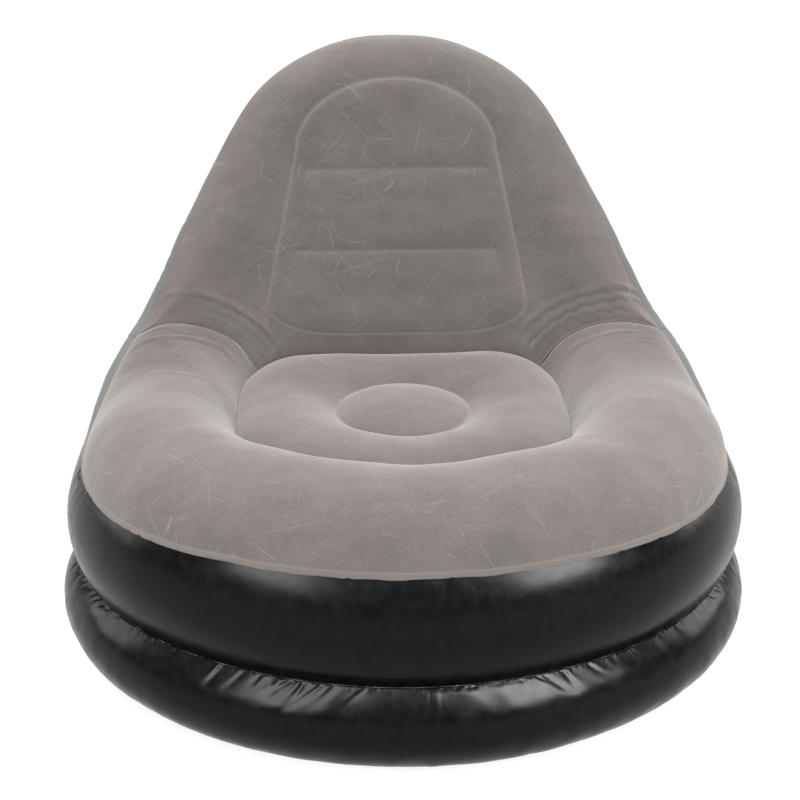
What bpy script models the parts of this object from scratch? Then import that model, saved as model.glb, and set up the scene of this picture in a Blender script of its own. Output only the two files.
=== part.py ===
"""Inflatable lounge chair: two stacked air rings, a flocked top with a sunken seat pad, and a backrest.

Metres, +Z up, and the front faces -Y. The origin is on the floor under the middle of the base.
Each sheet of film is an open shell, given by a grid of points on its outer face: columns run round
the chair, anticlockwise from above, and rows run up or inwards. Films that are welded on the real
chair end one clearance apart, and their weld margins lie on each other.
"""

from math import cos, pi, radians, sin

import bmesh
import bpy
import numpy as np
from mathutils import Matrix, Vector
from mathutils.bvhtree import BVHTree

# Films and their welds
WALL_FILM = 0.0005
FLOCK_FILM = 0.0008
BEAM_FILM = 0.0004
GAP = 0.0003
MARGIN = 0.009

# The waist weld, between the two rings
WAIST_HALF_WIDTH = 0.462
WAIST_FRONT = 0.415
WAIST_REAR = 0.572
WAIST_POWERS = (1.96, 2.0)
WAIST_HEIGHT = 0.125
FLOOR_INSET = 0.017
LOWER_BULGE_share = 0.30
UPPER_BULGE_share = 0.14

# The hem, where the flocked top is welded to the black walls
HEM_HALF_WIDTH = 0.450
HEM_FRONT = 0.409
HEM_REAR = 0.460
HEM_POWERS = (2.12, 1.92)
HEM_LEAN = radians(30)
HEM_STATIONS = tuple(map(radians, (-90, -60, -35, -15, 5, 20, 32, 45, 60, 75, 90)))
HEM_FRONT_HEIGHT = 0.280
HEM_TOP_HEIGHT = 0.766
HEM_RISE_shares = (0, 0.004, -0.01, -0.01, 0.02, 0.135, 0.25, 0.515, 0.835, 0.97, 1)

# The belt line, where the back wall stands on the upper ring's wall
BELT_HEIGHT = 0.310
BELT_INSET = 0.006
BELT_END_DROP = 0.004
BELT_GAP = 0.0008
BELT_LEVELS_OUT = radians(58)
BACK_BULGE_share = 0.085

# The seat pad and its round centre
SEAT_BEHIND_WIDEST = 0.060
SEAT_HALF_WIDTH = 0.241
SEAT_FRONT = 0.260
SEAT_REAR = 0.230
SEAT_FRONT_POWER = 2.4
SEAT_REAR_POWER = 4.5
SEAT_CORNER = radians(38)
SEAT_CROWDING_share = 0.24
SEAT_WELD_HEIGHT = 0.290
SEAT_BULGE_share = 0.19
CENTRE_RADIUS = 0.0975
CENTRE_WELD_HEIGHT = 0.297
CENTRE_CROWN = 0.016
VALLEY_share = 1.45
DOME_shares = (0.7, 0.35)

# The front roll and the arms, which end at a crease on each side of the backrest
CREASE = radians(25.7)
CREASE_GAP = 0.0015
ROLL_STATIONS = tuple(map(radians, (-90, -30, 0, 14, 25.7)))
ROLL_BULGE_shares = (0.40, 0.39, 0.35, 0.28, 0.22)

# The backrest and its sunken panel
PANEL_FOOT_BEHIND = 0.270
PANEL_FOOT_ABOVE_BELT = 0.030
PANEL_TOP_BELOW_HEM = 0.0455
PANEL_TILT = radians(13.3)
PANEL_SHOULDER_share = 0.729
PANEL_FOOT_HALF_WIDTH = 0.202
PANEL_SHOULDER_HALF_WIDTH = 0.153
PANEL_CORNER_WIDTH = 0.110
PANEL_CORNER_HEIGHT = 0.050
PANEL_BULGE = 0.014
CHANNEL_shares = (0.33, 0.65)
BORDER_BULGE_share = 0.28
BORDER_FOOT_BULGE_share = 0.16

# Films inside the rings
BASE_BEAM_share = 0.62
INNER_RING_shares = (0.12, 0.45, 0.66, 0.82)
VENT_BAND = 2
VENTS = 4
SEAM_OFFSET = 0.018
TAPE_WIDTH = 0.022

# The valve, in the middle of one facet of the back wall
VALVE_ROW = 1
FLANGE_RADIUS = 0.0220
FLANGE_THICKNESS = 0.0012
THROAT_BORE = 0.0145
THROAT_WALL = 0.0018
THROAT_DEPTH = 0.0120
THROAT_LIP = 0.0025
FILM_HOLE_CLEARANCE = 0.0005
PLUG_HEAD_RADIUS = 0.0190
PLUG_HEAD = 0.0018
PLUG_BORE = 0.0095
PLUG_END_LAND = 0.0010
LUG_LENGTH = 0.0030
LUG_WIDTH = 0.0080
FLAP_RADIUS = 0.0112
FLAP_THICKNESS = 0.0009
CAP_RADIUS = 0.0150
CAP_THICKNESS = 0.0016
CAP_STEM_CLEARANCE = 0.0006
CAP_STEM_TAPER = 0.0009
CAP_STEM_DEPTH = 0.0034
CAP_STEM_WALL = 0.0014
CAP_TAB_LENGTH = 0.0050
STRAP_WIDTH = 0.0060
STRAP_THICKNESS = 0.0008
ROUND_STEPS = 28
CUTTER_OVERRUN = 0.010

# Cells of the grids
RING_CELLS = 56
LOWER_CELLS = 6
UPPER_CELLS = 5
BACK_CELLS = 8
ROLL_CELLS = 6
SEAT_REAR_CELLS = 10
PAD_CELLS = 5
BORDER_CELLS = 6
PANEL_CHANNEL_ROWS = (4, 7)
FINE_STEPS = 720

UP = np.array([0.0, 0.0, 1.0])
WIDEST_Y = (WAIST_FRONT - WAIST_REAR) / 2
FULL_TURN = 2 * pi
RING_ANGLES = -pi / 2 + FULL_TURN * np.arange(RING_CELLS) / RING_CELLS
CELL_ANGLE = FULL_TURN / RING_CELLS


def clear_scene():
    for item in list(bpy.data.objects):
        bpy.data.objects.remove(item)


def material(name, colour, roughness, metallic=0.0):
    made = bpy.data.materials.new(name)
    made.use_nodes = True
    shader = made.node_tree.nodes["Principled BSDF"]
    shader.inputs["Base Color"].default_value = (*colour, 1.0)
    shader.inputs["Roughness"].default_value = roughness
    shader.inputs["Metallic"].default_value = metallic
    return made


def unit(vectors):
    return vectors / np.linalg.norm(vectors, axis=-1, keepdims=True)


def across(vectors, axis):
    """The unit direction nearest to the given one that is square to an axis."""
    return unit(vectors - (vectors * axis).sum(-1, keepdims=True) * axis)


def blend(start, end, share):
    return start + (end - start) * share


def smooth_through(places, stations, values):
    """A smooth curve through a few values, level at both of its ends."""
    stations, values = np.asarray(stations, float), np.asarray(values, float)
    widths = np.diff(stations)
    steps = np.diff(values) / widths
    slopes = np.zeros(len(stations))
    slopes[1:-1] = (steps[:-1] * widths[1:] + steps[1:] * widths[:-1]) / (widths[:-1] + widths[1:])
    cell = np.clip(np.searchsorted(stations, places) - 1, 0, len(widths) - 1)
    share = np.clip((places - stations[cell]) / widths[cell], 0, 1)
    ease = share * share * (3 - 2 * share)
    leaving = share * (1 - share) ** 2 * widths[cell] * slopes[cell]
    arriving = share * share * (1 - share) * widths[cell] * slopes[cell + 1]
    return blend(values[cell], values[cell + 1], ease) + leaving - arriving


def smooth_step(places, start, end):
    share = np.clip((places - start) / (end - start), 0, 1)
    return share * share * (3 - 2 * share)


def swing(angles):
    """How far a plan angle is towards the rear, from -90 degrees at the front to 90 at the rear."""
    return np.arcsin(np.clip(np.sin(angles), -1, 1))


def powered(values, power):
    """Cosines or sines of an oval's angles, where a power over 2 fills its corners."""
    return np.sign(values) * np.abs(values) ** (2 / power)


def oval(angles, sizes, powers, height):
    """Points of an egg-shaped loop whose front and rear halves meet at the widest line."""
    half_width, front, rear = sizes
    in_front = np.sin(angles) < 0
    power = np.where(in_front, *powers)
    x = half_width * powered(np.cos(angles), power)
    y = WIDEST_Y + np.where(in_front, front, rear) * powered(np.sin(angles), power)
    return np.stack([x, y, np.broadcast_to(height, np.shape(angles))], -1)


def outwards(line):
    """The level directions that point out of a closed line."""
    return across(np.cross(tangents(line, closed=True), UP), UP)


def tangents(curve, closed):
    if closed:
        return unit(np.roll(curve, -1, 0) - np.roll(curve, 1, 0))
    return unit(np.gradient(curve, axis=0))


def arcs(start, end, towards, bulge_share, cells):
    """Rows of round arcs from start to end, which rise to one side by a share of their chord."""
    chord = end - start
    length = np.linalg.norm(chord, axis=-1, keepdims=True)
    along = chord / length
    rise = across(np.broadcast_to(towards, chord.shape), along)
    half_turn = 2 * np.arctan(2 * np.asarray(bulge_share, float)) * np.ones_like(length)
    radius = length / (2 * np.sin(half_turn))
    rows = []
    for share in np.linspace(-1, 1, cells + 1):
        turn = half_turn * share
        sideways = radius * (np.cos(turn) - np.cos(half_turn))
        rows.append((start + end) / 2 + along * radius * np.sin(turn) + rise * sideways)
    return np.stack(rows, 1)


def resampled(line, shares):
    """Points of a polyline at shares of its length."""
    steps = np.linalg.norm(np.diff(line, axis=0), axis=1)
    lengths = np.concatenate([[0], np.cumsum(steps)])
    places = np.asarray(shares) * lengths[-1]
    return np.stack([np.interp(places, lengths, line[:, k]) for k in range(line.shape[1])], -1)


def drawn_back(edge, neighbour, distance):
    """An edge moved a little way along its sheet, so that it clears the edge it was welded to."""
    return edge + unit(neighbour - edge) * distance


def new_object(name, mesh_maker, finish):
    mesh = bpy.data.meshes.new(name)
    mesh_maker.to_mesh(mesh)
    mesh_maker.free()
    mesh.materials.append(finish)
    item = bpy.data.objects.new(name, mesh)
    bpy.context.scene.collection.objects.link(item)
    return item


def thickened(item, thickness):
    shell = item.modifiers.new("Film thickness", "SOLIDIFY")
    shell.thickness = thickness
    shell.offset = -1
    shell.use_even_offset = True
    shell.use_quality_normals = True
    item.data.shade_smooth()
    return item


def add_cells(maker, points, closed, left_out=()):
    """Faces between the columns and rows of a grid of vertices."""
    columns = len(points)
    for i in range(columns if closed else columns - 1):
        one, other = points[i], points[(i + 1) % columns]
        for j in range(len(one) - 1):
            if (i, j) not in left_out:
                maker.faces.new((one[j], other[j], other[j + 1], one[j + 1]))


def film(name, grid, thickness, finish, closed=False, left_out=(), hub=False, crown=False):
    """One sheet of film, which a hub closes at its first row and a crown at its last."""
    maker = bmesh.new()
    points = [[maker.verts.new(place) for place in column] for column in grid]
    add_cells(maker, points, closed, left_out)
    if hub:
        maker.faces.new([column[0] for column in reversed(points)])
    if crown:
        maker.faces.new([column[-1] for column in points])
    return thickened(new_object(name, maker, finish), thickness)


def vent_cells(columns, row):
    """Cells left out of a beam, so that the air passes from one side to the other."""
    step = columns // VENTS
    return {(step // 2 + step * k, row) for k in range(VENTS)}


# The welds that everything hangs on
WAIST_SIZES = (WAIST_HALF_WIDTH, WAIST_FRONT, WAIST_REAR)
FLOOR_SIZES = tuple(size - FLOOR_INSET for size in WAIST_SIZES)
BELT_SIZES = tuple(size - BELT_INSET for size in WAIST_SIZES)
HEM_SIZES = (HEM_HALF_WIDTH, HEM_FRONT, HEM_REAR)
FLOOR_WELD_HEIGHT = WALL_FILM + GAP
DIAPHRAGM_BOTTOM = WAIST_HEIGHT + GAP
DIAPHRAGM_TOP = DIAPHRAGM_BOTTOM + BEAM_FILM
UPPER_WELD_HEIGHT = DIAPHRAGM_TOP + GAP
FLOCK_PROUD = GAP + FLOCK_FILM
PANEL_FOOT_HEIGHT = BELT_HEIGHT + PANEL_FOOT_ABOVE_BELT
PANEL_RISE = HEM_TOP_HEIGHT - PANEL_TOP_BELOW_HEM - PANEL_FOOT_HEIGHT
PANEL_LENGTH = PANEL_RISE / cos(PANEL_TILT)
BEHIND_CREASE = swing(RING_ANGLES) > CREASE - CELL_ANGLE / 2
PANEL_ROWS = (int(BEHIND_CREASE.sum()) - 1 - SEAT_REAR_CELLS) // 2 + ROLL_CELLS


def hem_line():
    """The hem's upper edge, the direction in which the wall arrives there, and the wall's normal."""
    places = swing(RING_ANGLES)
    rise = smooth_through(places, HEM_STATIONS, HEM_RISE_shares)
    heights = blend(HEM_FRONT_HEIGHT, HEM_TOP_HEIGHT, rise)
    line = oval(RING_ANGLES, HEM_SIZES, HEM_POWERS, heights)
    along = tangents(line, closed=True)
    level = outwards(line)
    arriving = across(UP * cos(HEM_LEAN) - level * sin(HEM_LEAN), along)
    return line, arriving, np.cross(along, arriving)


def belt_line(hem_low):
    """The top edge of the upper ring: under the hem at the arms, and level across the rear."""
    level = oval(RING_ANGLES, BELT_SIZES, WAIST_POWERS, BELT_HEIGHT)
    share = smooth_step(swing(RING_ANGLES), CREASE, BELT_LEVELS_OUT)[:, None]
    dropped = hem_low - UP * BELT_END_DROP
    return np.where(BEHIND_CREASE[:, None], blend(dropped, level, share), hem_low)


def open_at_seam(grid):
    """A closed grid cut open at the front seam, whose two edges stay one clearance apart."""
    first, second = grid[0], grid[1]

    def cut(offset):
        return first + (second - first) * (offset / (second - first)[:, :1])

    start, end = cut(SEAM_OFFSET + GAP / 2), cut(SEAM_OFFSET - GAP / 2)
    return np.concatenate([[start], grid[1:], [first, end]])


def seam_tape(name, grid, thickness, finish):
    """A strip behind the front seam, on the inner face of the wall."""
    first, second = grid[0], grid[1]
    edges = []
    for offset in (SEAM_OFFSET - TAPE_WIDTH / 2, SEAM_OFFSET + TAPE_WIDTH / 2):
        edges.append(first + (second - first) * (offset / (second - first)[:, :1]))
    up_the_wall = unit(np.gradient(edges[0], axis=0))
    inwards = -unit(np.cross(unit(second - first), up_the_wall))
    behind = inwards * (WALL_FILM + GAP)
    return film(name, np.stack([edges[0] + behind, edges[1] + behind]), thickness, finish)


def ring_walls(black):
    """The walls of the two rings, their seam tapes and the upper wall's grid."""
    floor = oval(RING_ANGLES, FLOOR_SIZES, WAIST_POWERS, FLOOR_WELD_HEIGHT)
    waist = oval(RING_ANGLES, WAIST_SIZES, WAIST_POWERS, WAIST_HEIGHT)
    level = outwards(waist)
    turned_in = level * MARGIN
    wall = arcs(floor, waist, level, LOWER_BULGE_share, LOWER_CELLS)
    margins = (floor - turned_in)[:, None], (waist - turned_in)[:, None]
    lower = np.concatenate([margins[0], wall, margins[1]], 1)
    film("lower_wall", open_at_seam(lower), WALL_FILM, black)
    seam_tape("lower_seam_tape", wall[:, 1:-1], WALL_FILM, black)

    hem, arriving, _ = hem_line()
    belt = belt_line(hem - arriving * MARGIN)
    foot = oval(RING_ANGLES, WAIST_SIZES, WAIST_POWERS, UPPER_WELD_HEIGHT)
    wall = arcs(foot, belt, level, UPPER_BULGE_share, UPPER_CELLS)
    end = np.where(BEHIND_CREASE[:, None], belt - turned_in, hem)
    upper = np.concatenate([(foot - turned_in)[:, None], wall, end[:, None]], 1)
    film("upper_wall", open_at_seam(upper), WALL_FILM, black)
    seam_tape("upper_seam_tape", wall[:, 1:-1], WALL_FILM, black)
    return upper


def back_wall(upper, black):
    """The sheet behind the backrest, from the belt line to the hem, and its grid."""
    rear = np.flatnonzero(BEHIND_CREASE)
    hem, arriving, _ = hem_line()
    level = outwards(oval(RING_ANGLES, WAIST_SIZES, WAIST_POWERS, BELT_HEIGHT))
    foot, margin = upper[rear, -2] + UP * BELT_GAP, upper[rear, -1] + UP * BELT_GAP
    top = (hem - arriving * MARGIN)[rear]
    wall = arcs(foot, top, level[rear], BACK_BULGE_share, BACK_CELLS)
    grid = np.concatenate([margin[:, None], wall, hem[rear][:, None]], 1)
    grid[0] = drawn_back(grid[0], grid[1], MARGIN)
    grid[-1] = drawn_back(grid[-1], grid[-2], MARGIN)
    return film("back_wall", grid, WALL_FILM, black), wall


def seat_line():
    """The outline of the seat pad, as a front stretch from crease to crease and a rear stretch."""
    angles = np.linspace(SEAT_CORNER - pi, SEAT_CORNER + pi, FINE_STEPS * 2 + 1)
    rear = np.sin(angles) > 0
    power = 2 / np.where(rear, SEAT_REAR_POWER, SEAT_FRONT_POWER)
    depth = np.where(rear, SEAT_REAR, SEAT_FRONT)
    side = SEAT_HALF_WIDTH * np.sign(np.cos(angles)) * np.abs(np.cos(angles)) ** power
    behind = depth * np.sign(np.sin(angles)) * np.abs(np.sin(angles)) ** power
    y = WIDEST_Y + SEAT_BEHIND_WIDEST + behind
    fine = np.stack([side, y, np.full(len(angles), SEAT_WELD_HEIGHT)], -1)
    front = fine[(angles >= -pi / 2) & (angles <= SEAT_CORNER)]
    back = fine[(angles >= SEAT_CORNER) & (angles <= pi - SEAT_CORNER)]
    half_cells = round((CREASE + pi / 2) / CELL_ANGLE)
    even = np.arange(half_cells + 1) / half_cells
    crowded = blend(even, even**6, SEAT_CROWDING_share)
    right = resampled(front, crowded)
    left = (right * (-1, 1, 1))[::-1]
    return np.concatenate([left[:-1], right]), resampled(back, np.linspace(0, 1, SEAT_REAR_CELLS + 1))


def seat_loop():
    front, rear = seat_line()
    loop = np.concatenate([front, rear[1:-1]])
    along = tangents(loop, closed=True)
    return loop, np.cross(along, UP), len(front)


def hem_from_crease():
    """Indices of the hem's columns over the arms and the front, from the left crease to the right."""
    half_cells = round((CREASE + pi / 2) / CELL_ANGLE)
    return np.arange(-half_cells, half_cells + 1) % RING_CELLS


def roll_grid():
    """The front roll and the arms, from the hem's lower edge down into the seat's weld."""
    hem, arriving, normal = hem_line()
    index = hem_from_crease()
    proud = hem[index] + normal[index] * FLOCK_PROUD
    lap = proud - arriving[index] * MARGIN
    loop, away, front_count = seat_loop()
    inner = loop[:front_count] + away[:front_count] * (BEAM_FILM / 2 + GAP)
    shares = smooth_through(swing(RING_ANGLES[index]), ROLL_STATIONS, ROLL_BULGE_shares)
    rolls = arcs(proud, inner, UP, shares[:, None], ROLL_CELLS)
    return np.concatenate([lap[:, None], rolls, (inner - UP * MARGIN)[:, None]], 1)


def arm_roll_sheet(grid, flock):
    grid = grid.copy()
    grid[0] = drawn_back(grid[0], grid[1], CREASE_GAP)
    grid[-1] = drawn_back(grid[-1], grid[-2], CREASE_GAP)
    film("arm_roll_sheet", grid, FLOCK_FILM, flock)


def seat_pad_sheet(flock):
    """The pad, from the margin in its weld over the crown to the weld of its round centre."""
    loop, away, _ = seat_loop()
    edge = loop - away * (BEAM_FILM / 2 + GAP)
    middle = np.array([0, WIDEST_Y + SEAT_BEHIND_WIDEST, CENTRE_WELD_HEIGHT])
    circle = middle + unit((loop - middle) * (1, 1, 0)) * CENTRE_RADIUS
    crown = arcs(edge, circle, UP, SEAT_BULGE_share, PAD_CELLS)
    rows = [(edge - UP * MARGIN)[:, None], crown]
    for share in DOME_shares:
        dome = middle + (circle - middle) * share + UP * CENTRE_CROWN * (1 - share**2)
        rows.append(dome[:, None])
    film("seat_pad_sheet", np.concatenate(rows, 1), FLOCK_FILM, flock, closed=True, crown=True)
    return circle


def panel_point(side, height):
    """A point of the panel's plane, by its distance from the middle and its height up the slope."""
    slope = height * np.array([0, sin(PANEL_TILT), cos(PANEL_TILT)])
    return slope + (side, WIDEST_Y + PANEL_FOOT_BEHIND, PANEL_FOOT_HEIGHT)


def panel_half_outline():
    """The right half of the panel's outline, from the middle of its foot to its top."""
    quarter = np.linspace(0, pi / 2, FINE_STEPS // 4)
    corner_middle = PANEL_FOOT_HALF_WIDTH - PANEL_CORNER_WIDTH
    foot = np.stack([corner_middle + PANEL_CORNER_WIDTH * np.sin(quarter),
                     PANEL_CORNER_HEIGHT * (1 - np.cos(quarter))], -1)
    top = np.stack([PANEL_SHOULDER_HALF_WIDTH * np.cos(quarter),
                    PANEL_LENGTH * blend(PANEL_SHOULDER_share, 1, np.sin(quarter))], -1)
    return np.concatenate([[(0, 0)], foot, top])


def panel_ring():
    """The panel's outline, anticlockwise from its left foot corner: foot, right side, top, left side."""
    outline = panel_half_outline()
    heights = outline[:, 1]
    corner = 1 + int(FINE_STEPS // 8)
    shoulder = len(outline) - int(FINE_STEPS // 6)
    foot = resampled(outline[: corner + 1], np.linspace(0, 1, SEAT_REAR_CELLS // 2 + 1))
    low, high = PANEL_CHANNEL_ROWS
    lower, upper = (PANEL_LENGTH * share for share in CHANNEL_shares)
    stops = np.concatenate([
        np.linspace(heights[corner], lower, low + 1),
        np.linspace(lower, upper, high - low + 1)[1:],
        np.linspace(upper, heights[shoulder], PANEL_ROWS - high + 1)[1:],
    ])
    side = np.stack([np.interp(stops, heights, outline[:, 0]), stops], -1)
    top = resampled(outline[shoulder:], np.linspace(0, 1, SEAT_REAR_CELLS // 2 + 1))
    right = np.concatenate([foot, side[1:], top[1:]])
    left = (right * (-1, 1))[::-1][1:-1]
    flat = np.concatenate([right, left])
    flat = np.roll(flat, SEAT_REAR_CELLS // 2, axis=0)
    return np.array([panel_point(*place) for place in flat])


def border_ring(roll):
    """The outer edge of the backrest's flocked sheet and its weld margin, matched to the panel."""
    hem, arriving, normal = hem_line()
    rear = np.flatnonzero(BEHIND_CREASE)
    hem_edge = hem[rear] + normal[rear] * FLOCK_PROUD
    hem_lap = hem_edge - arriving[rear] * MARGIN
    loop, away, front_count = seat_loop()
    seat = np.concatenate([loop[front_count - 1:], loop[:1]])
    seat_away = np.concatenate([away[front_count - 1:], away[:1]])
    foot = (seat + seat_away * (BEAM_FILM / 2 + GAP))[::-1]
    right_crease, left_crease = roll[-1, 1:-1][::-1], roll[0, 1:-1]
    edge = np.concatenate([foot, right_crease[1:-1], hem_edge, left_crease[1:-1]])
    down = UP * MARGIN
    margin = np.concatenate([foot - down, right_crease[1:-1] - down, hem_lap, left_crease[1:-1] - down])
    return edge, margin


def panel_offsets(columns):
    """How far the panel stands out of its welds, for each row and column of its cells."""
    stops = (0, *PANEL_CHANNEL_ROWS, PANEL_ROWS)
    offsets = np.zeros((columns + 1, PANEL_ROWS + 1))
    sides = 1 - np.abs(np.linspace(-1, 1, columns + 1)) ** 4
    for start, end in zip(stops, stops[1:]):
        share = np.linspace(0, 1, end - start + 1)
        offsets[:, start: end + 1] = sides[:, None] * np.sin(pi * share) ** 0.7
    offsets[:, list(PANEL_CHANNEL_ROWS)] = 0
    return PANEL_BULGE * offsets


def panel_grid(ring):
    """Points inside the panel's outline, in level rows that bend to its foot and its top."""
    columns = SEAT_REAR_CELLS
    shares = np.linspace(0, 1, columns + 1)[:, None]
    foot, right = ring[: columns + 1], ring[columns: columns + PANEL_ROWS + 1]
    top = ring[columns + PANEL_ROWS: 2 * columns + PANEL_ROWS + 1][::-1]
    left = np.concatenate([ring[2 * columns + PANEL_ROWS:], ring[:1]])[::-1]
    low, high = PANEL_CHANNEL_ROWS
    rows = []
    for j in range(PANEL_ROWS + 1):
        near_foot = max(0, 1 - j / low) ** 2
        near_top = max(0, (j - high) / (PANEL_ROWS - high))
        row = blend(left[j], right[j], shares)
        row = row + (foot - blend(foot[0], foot[-1], shares)) * near_foot
        rows.append(row + (top - blend(top[0], top[-1], shares)) * near_top)
    facing = np.array([0, -cos(PANEL_TILT), sin(PANEL_TILT)])
    return np.stack(rows, 1) + panel_offsets(columns)[..., None] * facing


def back_sheet(roll, flock):
    """The backrest's flocked sheet: a round border from crease to hem, and the sunken panel."""
    edge, margin = border_ring(roll)
    behind = np.array([0, GAP, 0]) * 2
    columns, half = SEAT_REAR_CELLS, ROLL_CELLS
    creased = np.zeros(len(edge), bool)
    creased[columns + 1: columns + half] = True
    creased[-half + 1:] = True
    edge = np.where(creased[:, None], edge + behind, edge)
    margin = np.where(creased[:, None], margin + behind * 2, margin)
    ring = panel_ring()
    facing = np.array([0, -cos(PANEL_TILT), sin(PANEL_TILT)])
    bulge = np.full((len(edge), 1), BORDER_BULGE_share)
    bulge[: columns + 1] = BORDER_FOOT_BULGE_share
    border = arcs(edge, ring, facing, bulge, BORDER_CELLS)
    inner = panel_grid(ring)
    maker = bmesh.new()
    outer = [[maker.verts.new(place) for place in (low, *column)] for low, column in zip(margin, border)]
    add_cells(maker, outer, closed=True)
    rim = [column[-1] for column in outer]
    points = [[None] * (PANEL_ROWS + 1) for _ in range(columns + 1)]
    for i in range(columns + 1):
        points[i][0] = rim[i]
        points[i][PANEL_ROWS] = rim[2 * columns + PANEL_ROWS - i]
    for j in range(1, PANEL_ROWS):
        points[0][j] = rim[(-j) % len(rim)]
        points[columns][j] = rim[columns + j]
        for i in range(1, columns):
            points[i][j] = maker.verts.new(inner[i, j])
    add_cells(maker, points, closed=False)
    thickened(new_object("back_sheet", maker, flock), FLOCK_FILM)
    return ring, inner


def base_sheet(black):
    edge = oval(RING_ANGLES, FLOOR_SIZES, WAIST_POWERS, 0)
    middle = np.array([0, WIDEST_Y, 0])
    rows = [middle + (edge - middle) * share for share in (BASE_BEAM_share, 1)]
    film("base_sheet", np.stack(rows, 1), WALL_FILM, black, closed=True, hub=True)


def waist_diaphragm(clear):
    edge = oval(RING_ANGLES, WAIST_SIZES, WAIST_POWERS, DIAPHRAGM_BOTTOM)
    middle = np.array([0, WIDEST_Y, DIAPHRAGM_BOTTOM])
    rows = [middle + (edge - middle) * share for share in (*INNER_RING_shares, 1)]
    vents = vent_cells(RING_CELLS, VENT_BAND)
    film("waist_diaphragm", np.stack(rows, 1), BEAM_FILM, clear, closed=True, left_out=vents, hub=True)


def standing_beam(name, line, low, high, clear, closed=True):
    """A strip of film that stands on edge along a line, with vents in its middle band."""
    rows = [line * (1, 1, 0) + UP * height for height in np.linspace(low, high, 4)]
    film(name, np.stack(rows, 1), BEAM_FILM, clear, closed, left_out=vent_cells(len(line), 1))


def ring_beams(circle, clear):
    sizes = [size * BASE_BEAM_share for size in WAIST_SIZES]
    edge = oval(RING_ANGLES, sizes, WAIST_POWERS, 0)
    standing_beam("base_ring_beam", edge, WALL_FILM + GAP, WAIST_HEIGHT, clear)
    loop, away, _ = seat_loop()
    outer = loop + away * BEAM_FILM / 2
    standing_beam("seat_outline_beam", outer, DIAPHRAGM_TOP + GAP, SEAT_WELD_HEIGHT - GAP, clear)
    under_weld = CENTRE_WELD_HEIGHT - FLOCK_FILM * VALLEY_share - GAP
    standing_beam("seat_centre_beam", circle, DIAPHRAGM_TOP + GAP, under_weld, clear)


def back_beam(name, front, wall_tree, clear):
    """A strip of film from the panel's welds straight back to the inner face of the back wall."""
    rearwards = Vector((0, 1, 0))
    rear = []
    for place in front:
        hit, normal, _, _ = wall_tree.ray_cast(Vector(place), rearwards)
        seat = GAP / abs(normal.dot(rearwards))
        rear.append(np.array(hit - rearwards * seat))
    film(name, np.stack([front, np.array(rear)], 1), BEAM_FILM, clear)


def back_beams(ring, inner, wall, clear):
    graph = bpy.context.evaluated_depsgraph_get()
    tree = BVHTree.FromObject(wall, graph)
    behind = np.array([0, 1, 0]) * (FLOCK_FILM * VALLEY_share + GAP)
    outline = np.concatenate([ring[SEAT_REAR_CELLS:], ring[:1]]) + behind
    back_beam("back_outline_beam", outline, tree, clear)
    for name, row in zip(("back_beam_lower", "back_beam_upper"), PANEL_CHANNEL_ROWS):
        back_beam(name, inner[1:-1, row] + behind, tree, clear)


def turned(name, profile, finish, steps=ROUND_STEPS):
    """A round piece about the valve's axis, from a closed profile of radii and heights."""
    maker = bmesh.new()
    points = [maker.verts.new((radius, 0, height)) for radius, height in profile]
    edges = [maker.edges.new(pair) for pair in zip(points, points[1:])]
    if profile[0][0] > 0:
        edges.append(maker.edges.new((points[-1], points[0])))
    bmesh.ops.spin(maker, geom=points + edges, cent=(0, 0, 0), axis=(0, 0, 1), angle=FULL_TURN,
                   steps=steps, use_merge=True)
    bmesh.ops.remove_doubles(maker, verts=maker.verts, dist=GAP / 100)
    bmesh.ops.recalc_face_normals(maker, faces=maker.faces)
    item = new_object(name, maker, finish)
    item.data.shade_smooth()
    item.data.set_sharp_from_angle(angle=radians(35))
    return item


def block(name, low, high, finish):
    """A straight block between two corners."""
    maker = bmesh.new()
    bmesh.ops.create_cube(maker, size=1)
    low, high = Vector(low), Vector(high)
    bmesh.ops.transform(maker, verts=maker.verts,
                        matrix=Matrix.Translation((low + high) / 2) @ Matrix.Diagonal((*(high - low), 1)))
    return new_object(name, maker, finish)


def joined(item, other):
    """Unites a helper with a piece and hides the helper."""
    other.hide_render = True
    other.display_type = "WIRE"
    union = item.modifiers.new("Joined", "BOOLEAN")
    union.operation = "UNION"
    union.object = other
    return item


def pierced(item, cutter):
    cutter.hide_render = True
    cutter.display_type = "WIRE"
    cut = item.modifiers.new("Pierced", "BOOLEAN")
    cut.operation = "DIFFERENCE"
    cut.object = cutter
    return item


def valve_frame(wall_grid):
    """The middle and the outward normal of the facet of the back wall that carries the valve."""
    column = len(wall_grid) // 2
    corners = wall_grid[column: column + 2, VALVE_ROW: VALVE_ROW + 2].reshape(4, 3)
    one, other = corners[3] - corners[0], corners[1] - corners[2]
    normal = Vector(unit(np.cross(one, other)))
    if normal.y < 0:
        normal.negate()
    side = Vector((1, 0, 0))
    side = (side - normal * side.dot(normal)).normalized()
    turn = Matrix((side, normal.cross(side), normal)).transposed().to_4x4()
    return Matrix.Translation(Vector(corners.mean(0)) + normal * GAP) @ turn


def empty_at(name, matrix, parent=None):
    made = bpy.data.objects.new(name, None)
    bpy.context.scene.collection.objects.link(made)
    made.parent = parent
    made.matrix_local = matrix
    return made


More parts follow.
